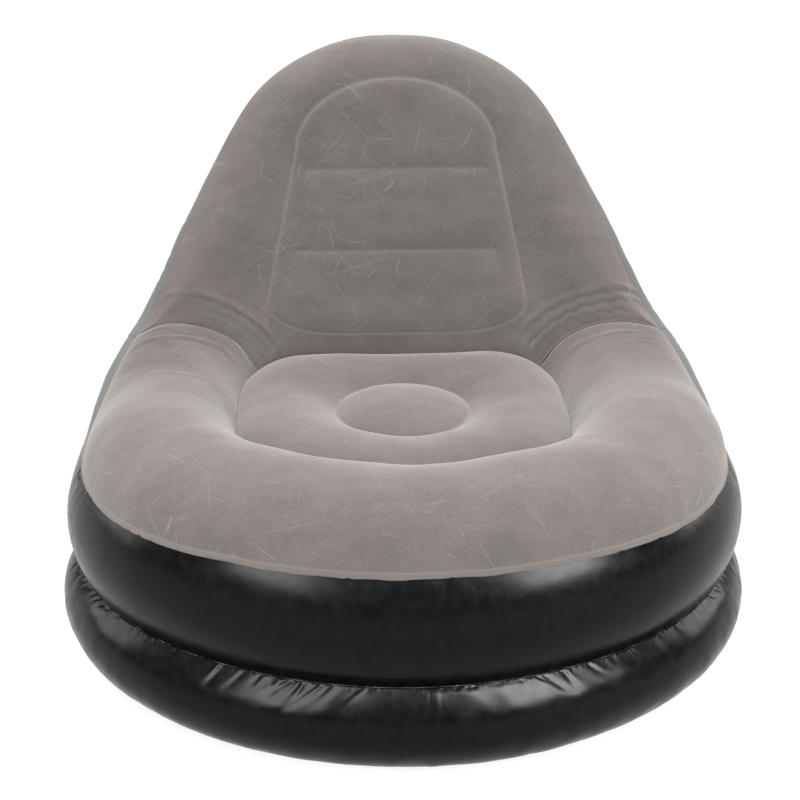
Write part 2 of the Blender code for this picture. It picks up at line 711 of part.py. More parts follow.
def valve(wall, wall_grid, rubber):
    """The collar in the back wall, its plug, the flap inside the plug and the cap on its strap."""
    frame = empty_at("valve_frame", valve_frame(wall_grid))
    bore, outer = THROAT_BORE, THROAT_BORE + THROAT_WALL
    lip = FLANGE_THICKNESS + THROAT_LIP
    collar = turned("valve_collar", (
        (bore, lip), (outer, lip), (outer, FLANGE_THICKNESS), (FLANGE_RADIUS, FLANGE_THICKNESS),
        (FLANGE_RADIUS, 0), (outer, 0), (outer, -THROAT_DEPTH), (bore, -THROAT_DEPTH)), rubber)
    hole = outer + FILM_HOLE_CLEARANCE
    cutter = turned("valve_hole", ((0, CUTTER_OVERRUN), (hole, CUTTER_OVERRUN),
                                   (hole, -CUTTER_OVERRUN), (0, -CUTTER_OVERRUN)), rubber)
    barrel = bore - GAP
    head_low = lip + GAP
    head_high = head_low + PLUG_HEAD
    barrel_end = PLUG_END_LAND - THROAT_DEPTH
    plug = turned("valve_plug", (
        (PLUG_BORE, head_high), (PLUG_HEAD_RADIUS, head_high), (PLUG_HEAD_RADIUS, head_low),
        (barrel, head_low), (barrel, barrel_end), (PLUG_BORE, barrel_end)), rubber)
    lug_start = PLUG_HEAD_RADIUS - LUG_LENGTH / 2
    lug = block("plug_lug", (-lug_start - LUG_LENGTH, -LUG_WIDTH / 2, head_low),
                (-lug_start, LUG_WIDTH / 2, head_high), rubber)
    joined(plug, lug)
    slide = empty_at("plug_slide", Matrix(), frame)

    flap_top = barrel_end - GAP
    flap_frame = empty_at("flap_hinge", Matrix.Translation((FLAP_RADIUS, 0, flap_top)), slide)
    flap = turned("check_flap", ((0, flap_top), (FLAP_RADIUS, flap_top),
                                 (FLAP_RADIUS, flap_top - FLAP_THICKNESS),
                                 (0, flap_top - FLAP_THICKNESS)), rubber)

    cap_low = head_high + GAP
    cap_high = cap_low + CAP_THICKNESS
    stem = PLUG_BORE - CAP_STEM_CLEARANCE
    stem_end = cap_low - CAP_STEM_DEPTH
    stem_tip = stem - CAP_STEM_TAPER
    cap = turned("valve_cap", (
        (0, cap_high), (CAP_RADIUS, cap_high), (CAP_RADIUS, cap_low), (stem, cap_low),
        (stem_tip, stem_end), (stem_tip - CAP_STEM_WALL, stem_end),
        (stem_tip - CAP_STEM_WALL, cap_low), (0, cap_low)), rubber)
    tab_start = CAP_RADIUS - CAP_TAB_LENGTH / 2
    tab = block("cap_tab", (tab_start, -STRAP_WIDTH / 2, cap_low),
                (tab_start + CAP_TAB_LENGTH, STRAP_WIDTH / 2, cap_high), rubber)
    joined(cap, tab)

    hinge_x = -lug_start - LUG_LENGTH / 2
    hinge_z = cap_low + STRAP_THICKNESS / 2
    cap_frame = empty_at("cap_hinge", Matrix.Translation((hinge_x, 0, hinge_z)), slide)
    strap = block("cap_strap", (hinge_x, -STRAP_WIDTH / 2, cap_low),
                  (-CAP_RADIUS - GAP, STRAP_WIDTH / 2, cap_low + STRAP_THICKNESS), rubber)

    for item in (collar, cutter):
        item.parent = frame
    for item in (plug, lug):
        item.parent = slide
    for item, holder in ((flap, flap_frame), (cap, cap_frame), (tab, cap_frame), (strap, cap_frame)):
        item.parent = holder
        item.data.transform(Matrix.Translation(-holder.location))
    pierced(wall, cutter)


def build():
    clear_scene()
    black = material("black_vinyl", (0.012, 0.012, 0.013), 0.38)
    flock = material("taupe_flock", (0.235, 0.205, 0.190), 0.95)
    clear = material("grey_film", (0.30, 0.30, 0.31), 0.50)
    rubber = material("valve_vinyl", (0.030, 0.030, 0.032), 0.45)
    base_sheet(black)
    upper = ring_walls(black)
    wall, wall_grid = back_wall(upper, black)
    waist_diaphragm(clear)
    roll = roll_grid()
    arm_roll_sheet(roll, flock)
    circle = seat_pad_sheet(flock)
    ring, inner = back_sheet(roll, flock)
    ring_beams(circle, clear)
    bpy.context.view_layer.update()
    back_beams(ring, inner, wall, clear)
    valve(wall, wall_grid, rubber)


build()
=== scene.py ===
from math import cos, pi, radians, sin

import bmesh
import bpy
import numpy as np
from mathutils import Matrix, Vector


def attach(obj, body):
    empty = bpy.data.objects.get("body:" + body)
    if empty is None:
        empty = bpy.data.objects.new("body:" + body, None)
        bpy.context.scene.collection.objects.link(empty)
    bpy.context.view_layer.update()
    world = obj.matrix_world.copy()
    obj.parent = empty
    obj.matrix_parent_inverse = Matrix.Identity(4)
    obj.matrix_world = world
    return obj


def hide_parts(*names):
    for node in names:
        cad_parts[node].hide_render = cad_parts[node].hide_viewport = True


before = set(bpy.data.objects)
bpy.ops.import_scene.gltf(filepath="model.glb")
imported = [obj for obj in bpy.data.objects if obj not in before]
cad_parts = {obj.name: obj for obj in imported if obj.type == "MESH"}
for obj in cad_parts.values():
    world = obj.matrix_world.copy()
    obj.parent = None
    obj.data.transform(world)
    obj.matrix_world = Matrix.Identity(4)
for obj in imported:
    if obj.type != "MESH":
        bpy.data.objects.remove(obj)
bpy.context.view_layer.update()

# Films and their welds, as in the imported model. A bulge share is an arc's height by its chord
WALL_FILM = 0.0005
FLOCK_FILM = 0.0008
BEAM_FILM = 0.0004
GAP = 0.0003
MARGIN = 0.009
WAIST_HALF_WIDTH = 0.462
WAIST_FRONT = 0.415
WAIST_REAR = 0.572
WAIST_POWERS = (1.96, 2.0)
WAIST_HEIGHT = 0.125
FLOOR_INSET = 0.017
LOWER_BULGE_SHARE = 0.30
UPPER_BULGE_SHARE = 0.14
HEM_HALF_WIDTH = 0.450
HEM_FRONT = 0.409
HEM_REAR = 0.460
HEM_POWERS = (2.12, 1.92)
HEM_LEAN = radians(30)
HEM_STATIONS = tuple(map(radians, (-90, -60, -35, -15, 5, 20, 32, 45, 60, 75, 90)))
HEM_FRONT_HEIGHT = 0.280
HEM_TOP_HEIGHT = 0.766
HEM_RISE_SHARES = (0, 0.004, -0.01, -0.01, 0.02, 0.135, 0.25, 0.515, 0.835, 0.97, 1)
BELT_HEIGHT = 0.310
BELT_INSET = 0.006
BELT_END_DROP = 0.004
BELT_DROP_REACH = radians(7)
BELT_GAP = 0.0008
BELT_LEVELS_OUT = radians(58)
BACK_BULGE_SHARE = 0.085
SEAT_BEHIND_WIDEST = 0.060
SEAT_HALF_WIDTH = 0.241
SEAT_FRONT = 0.260
SEAT_REAR = 0.230
SEAT_FRONT_POWER = 2.4
SEAT_REAR_POWER = 4.5
SEAT_CORNER = radians(38)
SEAT_CROWDING_SHARE = 0.24
SEAT_WELD_HEIGHT = 0.290
SEAT_BULGE_SHARE = 0.19
CENTRE_RADIUS = 0.0975
CENTRE_WELD_HEIGHT = 0.297
CENTRE_CROWN = 0.024
CREASE = radians(25.7)
ROLL_STATIONS = tuple(map(radians, (-90, -30, 0, 14, 25.7)))
ROLL_BULGE_SHARES = (0.40, 0.39, 0.35, 0.28, 0.22)
PANEL_FOOT_BEHIND = 0.270
PANEL_FOOT_HEIGHT = 0.340
PANEL_TILT = radians(13.3)
PANEL_LENGTH = 0.391
PANEL_SHOULDER = 0.285
PANEL_FOOT_HALF_WIDTH = 0.202
PANEL_SHOULDER_HALF_WIDTH = 0.153
PANEL_CORNER_WIDTH = 0.110
PANEL_CORNER_HEIGHT = 0.050
PANEL_BULGE = 0.014
CHANNEL_LOWER = 0.129
CHANNEL_UPPER = 0.254
BORDER_TOP_BULGE_SHARE = 0.18
BORDER_SIDE_BULGE_SHARE = 0.13
BORDER_CREASE_BULGE_SHARE = 0.012
BORDER_FOOT_BULGE_SHARE = 0.05
SEAM_OFFSET = 0.018

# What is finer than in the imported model: beside the arms the hem's pressed band stands out as a fin
CENTRE_DEEPER = 1.05
LAP_OFFSET = 0.013
LAP_FADES = (0.010, 0.016)
TAPE_FADES = (0.030, 0.050)
BAND_NARROWS = (radians(-52), radians(-20))
FIN_STARTS = radians(-14)
FIN_FULL = radians(22)
FIN_FADES = radians(28)
FIN_ENDS = radians(63)
FIN_SETBACK = 0.009
FIN_WIDTH = 0.0125
FIN_COVERS = 0.001
FRONT_BAND = 0.0068
SIDE_BAND = 0.0045
CUT_WAVES = ((0.35, 0.0006), (0.11, 0.0004), (0.045, 0.0003), (0.018, 0.0001))
NICKS = 16
NICK_DEPTH = 0.0012
NICK_WIDTH = 0.003
ARM_FULLNESS = 1.4
BORDER_FULLNESS = 1.2
BORDER_LANDING = 1.1

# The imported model's cells, and how many fine cells stand in each
RING_CELLS = 56
HALF_CELLS = round((CREASE + pi / 2) / (2 * pi / RING_CELLS))
SEAT_REAR_CELLS = 10
ROLL_CELLS = 6
PANEL_CELLS = 11
BORDER_CELLS = 5
PAD_CELLS = 5
CENTRE_CELLS = 3
WALL_ROWS = 56
BACK_ROWS = 90
BASE_FINE = 8
WALL_FINE = 24
FLOCK_FINE = 14
PAD_FINE = 9
FINE_STEPS = 720

UP = np.array([0.0, 0.0, 1.0])
WIDEST_Y = (WAIST_FRONT - WAIST_REAR) / 2
PANEL_FACING = np.array([0, -cos(PANEL_TILT), sin(PANEL_TILT)])
FULL_TURN = 2 * pi
WAIST_SIZES = (WAIST_HALF_WIDTH, WAIST_FRONT, WAIST_REAR)
FLOOR_SIZES = tuple(size - FLOOR_INSET for size in WAIST_SIZES)
BELT_SIZES = tuple(size - BELT_INSET for size in WAIST_SIZES)
HEM_SIZES = (HEM_HALF_WIDTH, HEM_FRONT, HEM_REAR)
FLOOR_WELD_HEIGHT = WALL_FILM + GAP
UPPER_WELD_HEIGHT = WAIST_HEIGHT + BEAM_FILM + 2 * GAP
FLOCK_PROUD = GAP + FLOCK_FILM

# The creases, where the arms meet the backrest: right and left of a viewer who faces the chair
CREASE_LIP = 0.018
BORDER_LIP = 0.009
CREASE_RISES = (0.003, 0.010)
CREASE_RISE_REACH = 0.080
CORNER_EASE = 80
WIDEST_EASE = 0.050
CREASE_PULLS = np.array([(0.0, 0.004, -0.020), (0.0, 0.004, -0.012)])
CHANNELS = ((CHANNEL_LOWER, 0.149), (CHANNEL_UPPER, 0.135))
OUTLINE_PRESSED = 0.0015
CHANNEL_PRESSED = 0.0025
OUTLINE_REACH = 0.045
CHANNEL_REACH = 0.034
CHANNEL_FLOOR_SHARE = 0.12
# Folds beside the creases: distance from the crease, from and to which share of it, height, width
ARM_RIDGES_LEFT = (
    (0.023, 0.03, 0.90, 0.0012, 0.0030), (0.033, 0.06, 0.86, 0.0012, 0.0032),
    (0.045, 0.03, 0.88, 0.0036, 0.0050), (0.058, 0.25, 0.80, 0.0009, 0.0040),
    (0.105, 0.35, 0.70, 0.0006, 0.0040), (0.150, 0.30, 0.80, 0.0006, 0.0050),
)
ARM_RIDGES_RIGHT = (
    (0.025, 0.20, 0.80, 0.0007, 0.0035), (0.040, 0.22, 0.82, 0.0032, 0.0050),
    (0.054, 0.10, 0.60, 0.0006, 0.0040), (0.070, 0.15, 0.55, 0.0005, 0.0040),
)
BORDER_RIDGES_LEFT = (
    (0.018, 0.35, 0.95, 0.0007, 0.0040), (0.032, 0.40, 0.95, 0.0010, 0.0045),
    (0.047, 0.25, 0.90, 0.0032, 0.0050), (0.066, 0.45, 0.90, 0.0008, 0.0060),
)
BORDER_RIDGES_RIGHT = (
    (0.019, 0.25, 0.98, 0.0030, 0.0046), (0.033, 0.18, 0.98, 0.0028, 0.0046),
    (0.050, 0.15, 0.90, 0.0034, 0.0052), (0.068, 0.40, 0.90, 0.0010, 0.0060),
)

# Shares run anticlockwise round a seam from its front, seen from above. A stretch is a share and how strong
# the puckers are there. A pucker is pitch, reach, depth, lean, and a group of folds is from share, to share,
# count, reach, depth, lean
EVEN_STRETCHES = ((0, 0.8), (1, 0.8))
LOWER_STRETCHES = (
    (0, 0.35), (0.035, 0.25), (0.045, 0.9), (0.105, 1.0), (0.125, 0.25), (0.155, 0.4), (0.18, 1.5), (0.25, 1.4),
    (0.30, 0.9), (0.70, 0.9), (0.75, 1.4), (0.82, 1.5), (0.85, 0.4), (0.875, 0.3), (0.895, 1.0), (0.955, 1.0),
    (0.965, 0.25), (1, 0.35),
)
UPPER_STRETCHES = ((0, 0.15), (0.15, 0.2), (0.25, 0.8), (0.75, 0.8), (0.85, 0.2), (1, 0.15))
BELT_STRETCHES = ((0, 0.15), (0.18, 0.2), (0.27, 1), (0.73, 1), (0.82, 0.2), (1, 0.15))
SEAM_PUCKERS = ((0.007, 0.007, 0.0009, 0.3), (0.016, 0.022, 0.0010, 0.7))
LOWER_FOLDS = (
    (0.000, 0.035, 6, 0.012, 0.0010, 0.0), (0.038, 0.105, 9, 0.026, 0.0015, 0.8),
    (0.106, 0.145, 4, 0.016, 0.0010, 0.4), (0.150, 0.200, 15, 0.020, 0.0018, 0.6),
    (0.20, 0.80, 90, 0.036, 0.0020, 0.0), (0.800, 0.850, 15, 0.020, 0.0018, -0.6),
    (0.855, 0.905, 4, 0.016, 0.0010, -0.4), (0.913, 0.917, 1, 0.040, 0.0030, -0.9),
    (0.924, 0.980, 8, 0.034, 0.0016, -0.6), (0.982, 1.000, 3, 0.012, 0.0010, 0.0),
)
FLOOR_PUCKERS = ((0.010, 0.018, 0.0010, 0.3), (0.045, 0.060, 0.0022, 0.8))
BACK_FOOT_FOLDS = ((0.02, 0.98, 42, 0.070, 0.0034, 0.0),)
BACK_TOP_FOLDS = ((0.04, 0.96, 46, 0.050, 0.0028, 0.0),)
BELT_FOLDS = ((0.200, 0.235, 6, 0.030, 0.0020, -0.4), (0.24, 0.76, 70, 0.045, 0.0028, 0.0),
              (0.765, 0.800, 6, 0.030, 0.0020, 0.4))
UPPER_PUCKERS = ((0.008, 0.012, 0.0008, 0.3), (0.030, 0.050, 0.0025, 0.8))
BELT_PUCKERS = ((0.008, 0.014, 0.0008, 0.3), (0.022, 0.045, 0.0022, 0.7))
BACK_FOOT_PUCKERS = ((0.009, 0.016, 0.0010, 0.3), (0.020, 0.040, 0.0022, 0.6), (0.050, 0.110, 0.0040, 0.9))
BACK_TOP_PUCKERS = ((0.008, 0.014, 0.0008, 0.3), (0.018, 0.034, 0.0018, 0.6), (0.050, 0.080, 0.0030, 0.9))
HEM_PUCKERS = ((0.008, 0.012, 0.0006, 0.3), (0.020, 0.034, 0.0010, 0.6), (0.050, 0.070, 0.0012, 0.9))
SEAT_PUCKERS = ((0.009, 0.014, 0.0007, 0.3), (0.024, 0.034, 0.0010, 0.6))

# The valve's throat in the back wall, which lies flat round it
VALVE_PLACE = np.array([-0.02666, 0.48974, 0.39814])
VALVE_AXIS = np.array([-0.07014, 0.99746, 0.01265])
VALVE_HOLE_RADIUS = 0.0172
VALVE_FLAT = 0.028
VALVE_FLAT_FADES = 0.085

BASE_BEAM_SHARE = 0.62
BASE_BEAM_LIFT = 0.0015
BASE_BEAM_REACH = 0.010
BASE_EDGE_LIFT = 0.0006
BASE_PUCKERS = ((0.012, 0.020, 0.0008, 0.3), (0.030, 0.060, 0.0016, 0.7))

# Where backs rub the flock, how far its scratches wander, and the place that the lamps face
RUBBED_PLACE = (-0.11, 0.235, 0.525)
SCRATCH_WANDER = 0.0012
LIT_PLACE = (0, -0.2, 0.2)

REPLACED_NODES = ("lower_wall", "upper_wall", "back_wall", "base_sheet", "arm_roll_sheet", "seat_pad_sheet",
                  "back_sheet")
VALVE_NODES = ("valve_collar", "valve_plug", "check_flap", "valve_cap", "cap_strap")
TAPE_NODES = ("lower_seam_tape", "upper_seam_tape")


def unit(vectors):
    return vectors / np.linalg.norm(vectors, axis=-1, keepdims=True)


def across(vectors, axis):
    """The unit direction nearest to the given one that is square to an axis."""
    return unit(vectors - (vectors * axis).sum(-1, keepdims=True) * axis)


def blend(start, end, share):
    return start + (end - start) * share


def smooth_through(places, stations, values):
    """A smooth curve through a few values, level at both of its ends."""
    stations, values = np.asarray(stations, float), np.asarray(values, float)
    widths = np.diff(stations)
    steps = np.diff(values) / widths
    slopes = np.zeros(len(stations))
    slopes[1:-1] = (steps[:-1] * widths[1:] + steps[1:] * widths[:-1]) / (widths[:-1] + widths[1:])
    cell = np.clip(np.searchsorted(stations, places) - 1, 0, len(widths) - 1)
    share = np.clip((places - stations[cell]) / widths[cell], 0, 1)
    ease = share * share * (3 - 2 * share)
    leaving = share * (1 - share) ** 2 * widths[cell] * slopes[cell]
    arriving = share * share * (1 - share) * widths[cell] * slopes[cell + 1]
    return blend(values[cell], values[cell + 1], ease) + leaving - arriving


def smooth_step(places, start, end):
    share = np.clip((places - start) / (end - start), 0, 1)
    return share * share * (3 - 2 * share)


def swing(angles):
    return np.arcsin(np.clip(np.sin(angles), -1, 1))


def powered(values, power):
    return np.sign(values) * np.abs(values) ** (2 / power)


def oval(angles, sizes, powers, height):
    half_width, front, rear = sizes
    in_front = np.sin(angles) < 0
    power = np.where(in_front, *powers)
    x = half_width * powered(np.cos(angles), power)
    y = WIDEST_Y + np.where(in_front, front, rear) * powered(np.sin(angles), power)
    return np.stack([x, y, np.broadcast_to(height, np.shape(angles))], -1)


def tangents(curve, closed):
    if closed:
        return unit(np.roll(curve, -1, 0) - np.roll(curve, 1, 0))
    return unit(np.gradient(curve, axis=0))


def outwards(line):
    return across(np.cross(tangents(line, closed=True), UP), UP)


def arcs(start, end, towards, bulge_share, cells, fullness=1.0, landing=1.0):
    """Rows of arcs from start to end, which rise to one side by a share of their chord.

    They stand closer together near both ends. A fullness over 1 makes them leave their start more steeply,
    and a landing over 1 makes them reach their end more softly.
    """
    chord = end - start
    length = np.linalg.norm(chord, axis=-1, keepdims=True)
    along = chord / length
    rise = across(np.broadcast_to(towards, chord.shape), along)
    half_turn = 2 * np.arctan(2 * np.asarray(bulge_share, float)) * np.ones_like(length)
    radius = length / (2 * np.sin(half_turn))
    height = radius * (1 - np.cos(half_turn))
    rows = []
    for even in np.linspace(-1, 1, cells + 1):
        share = even * (1.3 - 0.3 * even**2)
        turn = half_turn * share
        lift = np.clip((np.cos(turn) - np.cos(half_turn)) / (1 - np.cos(half_turn)), 0, 1)
        lift **= blend(landing, 1 / np.asarray(fullness, float), (1 - share) / 2)
        rows.append((start + end) / 2 + along * radius * np.sin(turn) + rise * height * lift)
    return np.stack(rows, 1)


def resampled(line, shares):
    steps = np.linalg.norm(np.diff(line, axis=0), axis=1)
    lengths = np.concatenate([[0], np.cumsum(steps)])
    places = np.asarray(shares) * lengths[-1]
    return np.stack([np.interp(places, lengths, line[:, k]) for k in range(line.shape[1])], -1)


# Grids of points, each with the distances along it and away from its weld that folds are laid out by

def ring_angles(fine):
    return -pi / 2 + FULL_TURN * np.arange(RING_CELLS * fine) / (RING_CELLS * fine)


def run_along(line, closed=False):
    """Distances along a line of points from its first one, and its whole length."""
    ends = np.concatenate([line, line[:1]]) if closed else line
    lengths = np.concatenate([[0], np.cumsum(np.linalg.norm(np.diff(ends, axis=0), axis=1))])
    return (lengths[:-1] if closed else lengths), lengths[-1]


def run_across(grid):
    """Distances across a grid of columns, from each column's first point."""
    steps = np.linalg.norm(np.diff(grid, axis=1), axis=-1)
    return np.concatenate([np.zeros((len(grid), 1)), np.cumsum(steps, axis=1)], 1)


def run_back(grid):
    """Distances across a grid of columns, back from each column's last point."""
    return run_across(grid[:, ::-1])[:, ::-1]


def measured(line, grid, closed):
    """Distances along a seam and its whole length, and the distances across its grid from either edge."""
    s, length = run_along(line, closed)
    return s[:, None], length, run_across(grid), run_back(grid)


def normals(grid, closed):
    if closed:
        along = np.roll(grid, -1, 0) - np.roll(grid, 1, 0)
    else:
        along = np.gradient(grid, axis=0)
    return unit(np.cross(along, np.gradient(grid, axis=1)))


def pushed_out(grid, closed, offset):
    """The grid with each point moved outwards by its own offset."""
    return grid + normals(grid, closed) * offset[..., None]


def seam_noise(s, pitch, length, random):
    """Smooth unevenness along a seam, from -1 to 1, that joins up where the seam does."""
    count = max(3, round(length / pitch))
    values = random.uniform(-1, 1, count)
    place = s / length * count
    cell = np.floor(place).astype(int)
    return blend(values[cell % count], values[(cell + 1) % count], smooth_step(place - cell, 0, 1))


def gains(share, stretches):
    """How strong the puckers are along a seam: pairs of a share of its length and a strength, in order."""
    places, strengths = np.array(stretches).T
    return np.interp(share, places, strengths)


def puckers(s, t, length, rows, stretches, seed):
    """Sharp little valleys that run out of a seam and fade: s is along it and t is away from it.

    Each row is (pitch, reach, depth, lean), in metres but for the lean, which is a slope.
    """
    random = np.random.default_rng(seed)
    offsets = np.zeros(np.broadcast(s, t).shape)
    strength = gains(s / length % 1, stretches)
    for pitch, reach, depth, lean in rows:
        slope = lean * seam_noise(s, pitch * 9, length, random)
        far = reach * (0.6 + 0.4 * seam_noise(s, pitch * 1.7, length, random))
        lively = np.clip(0.45 + 0.9 * seam_noise(s, pitch * 5, length, random), 0, 1)
        line = seam_noise(s + slope * t, pitch, length, random)
        valley = (1 - np.abs(line)) ** 3 - 0.25
        fade = np.clip(1 - t / far, 0, 1) ** 1.3
        offsets -= depth * strength * lively * valley * fade
    return offsets


def folds(s, t, length, groups, seed, closed=True):
    """Gathers that fan out of a seam, each a sharp valley with a soft shoulder on one side of it.

    Each group is (from share, to share, count, reach, depth, lean), in metres but for the shares of the seam's
    length and the lean, which is a slope.
    """
    random = np.random.default_rng(seed)
    offsets = np.zeros(np.broadcast(s, t).shape)
    for start, end, count, reach, depth, lean in groups:
        for k in range(count):
            place = blend(start, end, (k + random.uniform(0, 1)) / count) * length
            slope, bend = random.normal(lean, 0.35), random.uniform(-9, 9)
            far, size = reach * random.uniform(0.45, 1.5), random.uniform(0.3, 1.0)
            beside = s - place - slope * t - bend * t**2
            if closed:
                beside = (beside + length / 2) % length - length / 2
            wide = random.uniform(0.0022, 0.0040) * (1 + 1.5 * t / reach)
            side = random.choice((-1.6, 1.6))
            shape = 0.5 * np.exp(-((beside / wide - side) ** 2)) - np.exp(-np.abs(beside / wide) ** 1.3)
            offsets += depth * size * shape * np.clip(1 - t / far, 0, 1) ** 1.2
    return offsets


def swells(grid, seed, sizes, heights):
    """Slow unevenness over a sheet, from a few seeded waves of each size."""
    random = np.random.default_rng(seed)
    offsets = np.zeros(grid.shape[:2])
    for size, height in zip(sizes, heights):
        for _ in range(6):
            heading = unit(random.normal(size=3)) * FULL_TURN / (size * random.uniform(0.7, 1.5))
            offsets += height / 2.4 * np.sin(grid @ heading + random.uniform(0, FULL_TURN))
    return offsets


def fin_share(angles):
    """How far the hem's pressed band stands out as a fin: only beside the arms and the lower backrest."""
    lean = swing(angles)
    return smooth_step(lean, FIN_STARTS, FIN_FULL) * (1 - smooth_step(lean, FIN_FADES, FIN_ENDS))


def band_width(angles):
    """The width of the pressed band: narrower beside the front roll, and wide where it stands out as a fin."""
    plain = blend(FRONT_BAND, SIDE_BAND, smooth_step(swing(angles), *BAND_NARROWS))
    return blend(plain, FIN_WIDTH, fin_share(angles))


def hem_line(angles):
    """The weld line of the hem, the direction in which the wall arrives there, and the way out of the wall."""
    rise = smooth_through(swing(angles), HEM_STATIONS, HEM_RISE_SHARES)
    line = oval(angles, HEM_SIZES, HEM_POWERS, blend(HEM_FRONT_HEIGHT, HEM_TOP_HEIGHT, rise))
    along = tangents(line, closed=True)
    facing = unit(blend(UP, PANEL_FACING, smooth_step(swing(angles), FIN_FULL, radians(60))[:, None]))
    beyond = across(np.cross(along, facing), along)
    fin = fin_share(angles)[:, None]
    line = line - beyond * fin * FIN_SETBACK
    arriving = across(UP * cos(HEM_LEAN) - outwards(line) * sin(HEM_LEAN), along)
    band = unit(blend(-arriving, beyond, fin))
    normal = unit(blend(np.cross(along, arriving), np.cross(beyond, along), fin))
    return line, arriving, normal, band


def wall_top(hem, arriving, band, fin):
    """Where a wall meets the hem's weld, and the edge of its margin inside the hem's band."""
    return (blend(hem - arriving * MARGIN, hem - arriving * WALL_FILM, fin),
            blend(hem, hem + band * (FIN_WIDTH - FIN_COVERS), fin))


def behind_crease(angles):
    return swing(angles) > CREASE - radians(0.1)


def belt_line(angles, hem_low):
    """The upper wall's top: the hem in front of the creases, and behind them the belt, which levels out."""
    level = oval(angles, BELT_SIZES, WAIST_POWERS, BELT_HEIGHT)
    lean = swing(angles)
    drop = BELT_END_DROP * smooth_step(lean, CREASE - BELT_DROP_REACH, CREASE)
    return blend(hem_low - UP * drop[:, None], level, smooth_step(lean, CREASE, BELT_LEVELS_OUT)[:, None])


def seam_step(s, length):
    """The lap of the wall's butt seam: the film's end lies on its other end, in a band beside the seam."""
    beside = (s - LAP_OFFSET + length / 2) % length - length / 2
    band = smooth_step(beside, -0.0006, 0.0006) * (1 - smooth_step(beside, *LAP_FADES))
    return WALL_FILM * 0.9 * band


def over_tape(offset, s, length):
    """Keeps a wall outside the tape behind its butt seam."""
    beside = np.abs((s - SEAM_OFFSET + length / 2) % length - length / 2)
    proud = np.maximum(offset, 0)
    return np.where(beside < TAPE_FADES[0], proud, blend(proud, offset, smooth_step(beside, *TAPE_FADES)))


def lower_wall_grid():
    angles = ring_angles(WALL_FINE)
    floor = oval(angles, FLOOR_SIZES, WAIST_POWERS, FLOOR_WELD_HEIGHT)
    waist = oval(angles, WAIST_SIZES, WAIST_POWERS, WAIST_HEIGHT)
    level = outwards(waist)
    wall = arcs(floor, waist, level, LOWER_BULGE_SHARE, WALL_ROWS)
    s, length, away, t = measured(waist, wall, True)
    offset = puckers(s, t, length, SEAM_PUCKERS, LOWER_STRETCHES, 11)
    offset += folds(s, t, length, LOWER_FOLDS, 14)
    offset += puckers(s, away, length, FLOOR_PUCKERS, EVEN_STRETCHES, 12)
    uneven = swells(wall, 13, (0.22, 0.07, 0.03), (0.0010, 0.0003, 0.0002))
    offset += uneven * smooth_step(t, 0, 0.01) * smooth_step(away, 0, 0.04)
    offset = over_tape(offset, s, length) + seam_step(s, length)
    held = smooth_step(t, 0, 0.003) * smooth_step(away, 0, 0.006)
    wall = pushed_out(wall, True, offset * held)
    turned_in = level * MARGIN
    return np.concatenate([(floor - turned_in)[:, None], wall, (waist - turned_in)[:, None]], 1)


def upper_wall_grid():
    angles = ring_angles(WALL_FINE)
    hem, arriving, _, band = hem_line(angles)
    top, top_edge = wall_top(hem, arriving, band, fin_share(angles)[:, None])
    belt = belt_line(angles, top)
    foot = oval(angles, WAIST_SIZES, WAIST_POWERS, UPPER_WELD_HEIGHT)
    level = outwards(foot)
    wall = arcs(foot, belt, level, UPPER_BULGE_SHARE, WALL_ROWS)
    s, length, t, away = measured(foot, wall, True)
    offset = puckers(s, t, length, UPPER_PUCKERS, UPPER_STRETCHES, 21)
    offset += puckers(s, away, length, BELT_PUCKERS, BELT_STRETCHES, 22)
    offset += folds(s, away, length, BELT_FOLDS, 24)
    uneven = swells(wall, 23, (0.25, 0.08), (0.0010, 0.0002))
    offset += uneven * smooth_step(t, 0, 0.03) * smooth_step(away, 0, 0.04)
    offset = over_tape(offset, s, length) + seam_step(s, length)
    held = smooth_step(t, 0, 0.003) * smooth_step(away, 0, 0.004)
    wall = pushed_out(wall, True, offset * held)
    turned_in = level * MARGIN
    end = np.where(behind_crease(angles)[:, None], belt - turned_in, top_edge)
    return np.concatenate([(foot - turned_in)[:, None], wall, end[:, None]], 1)


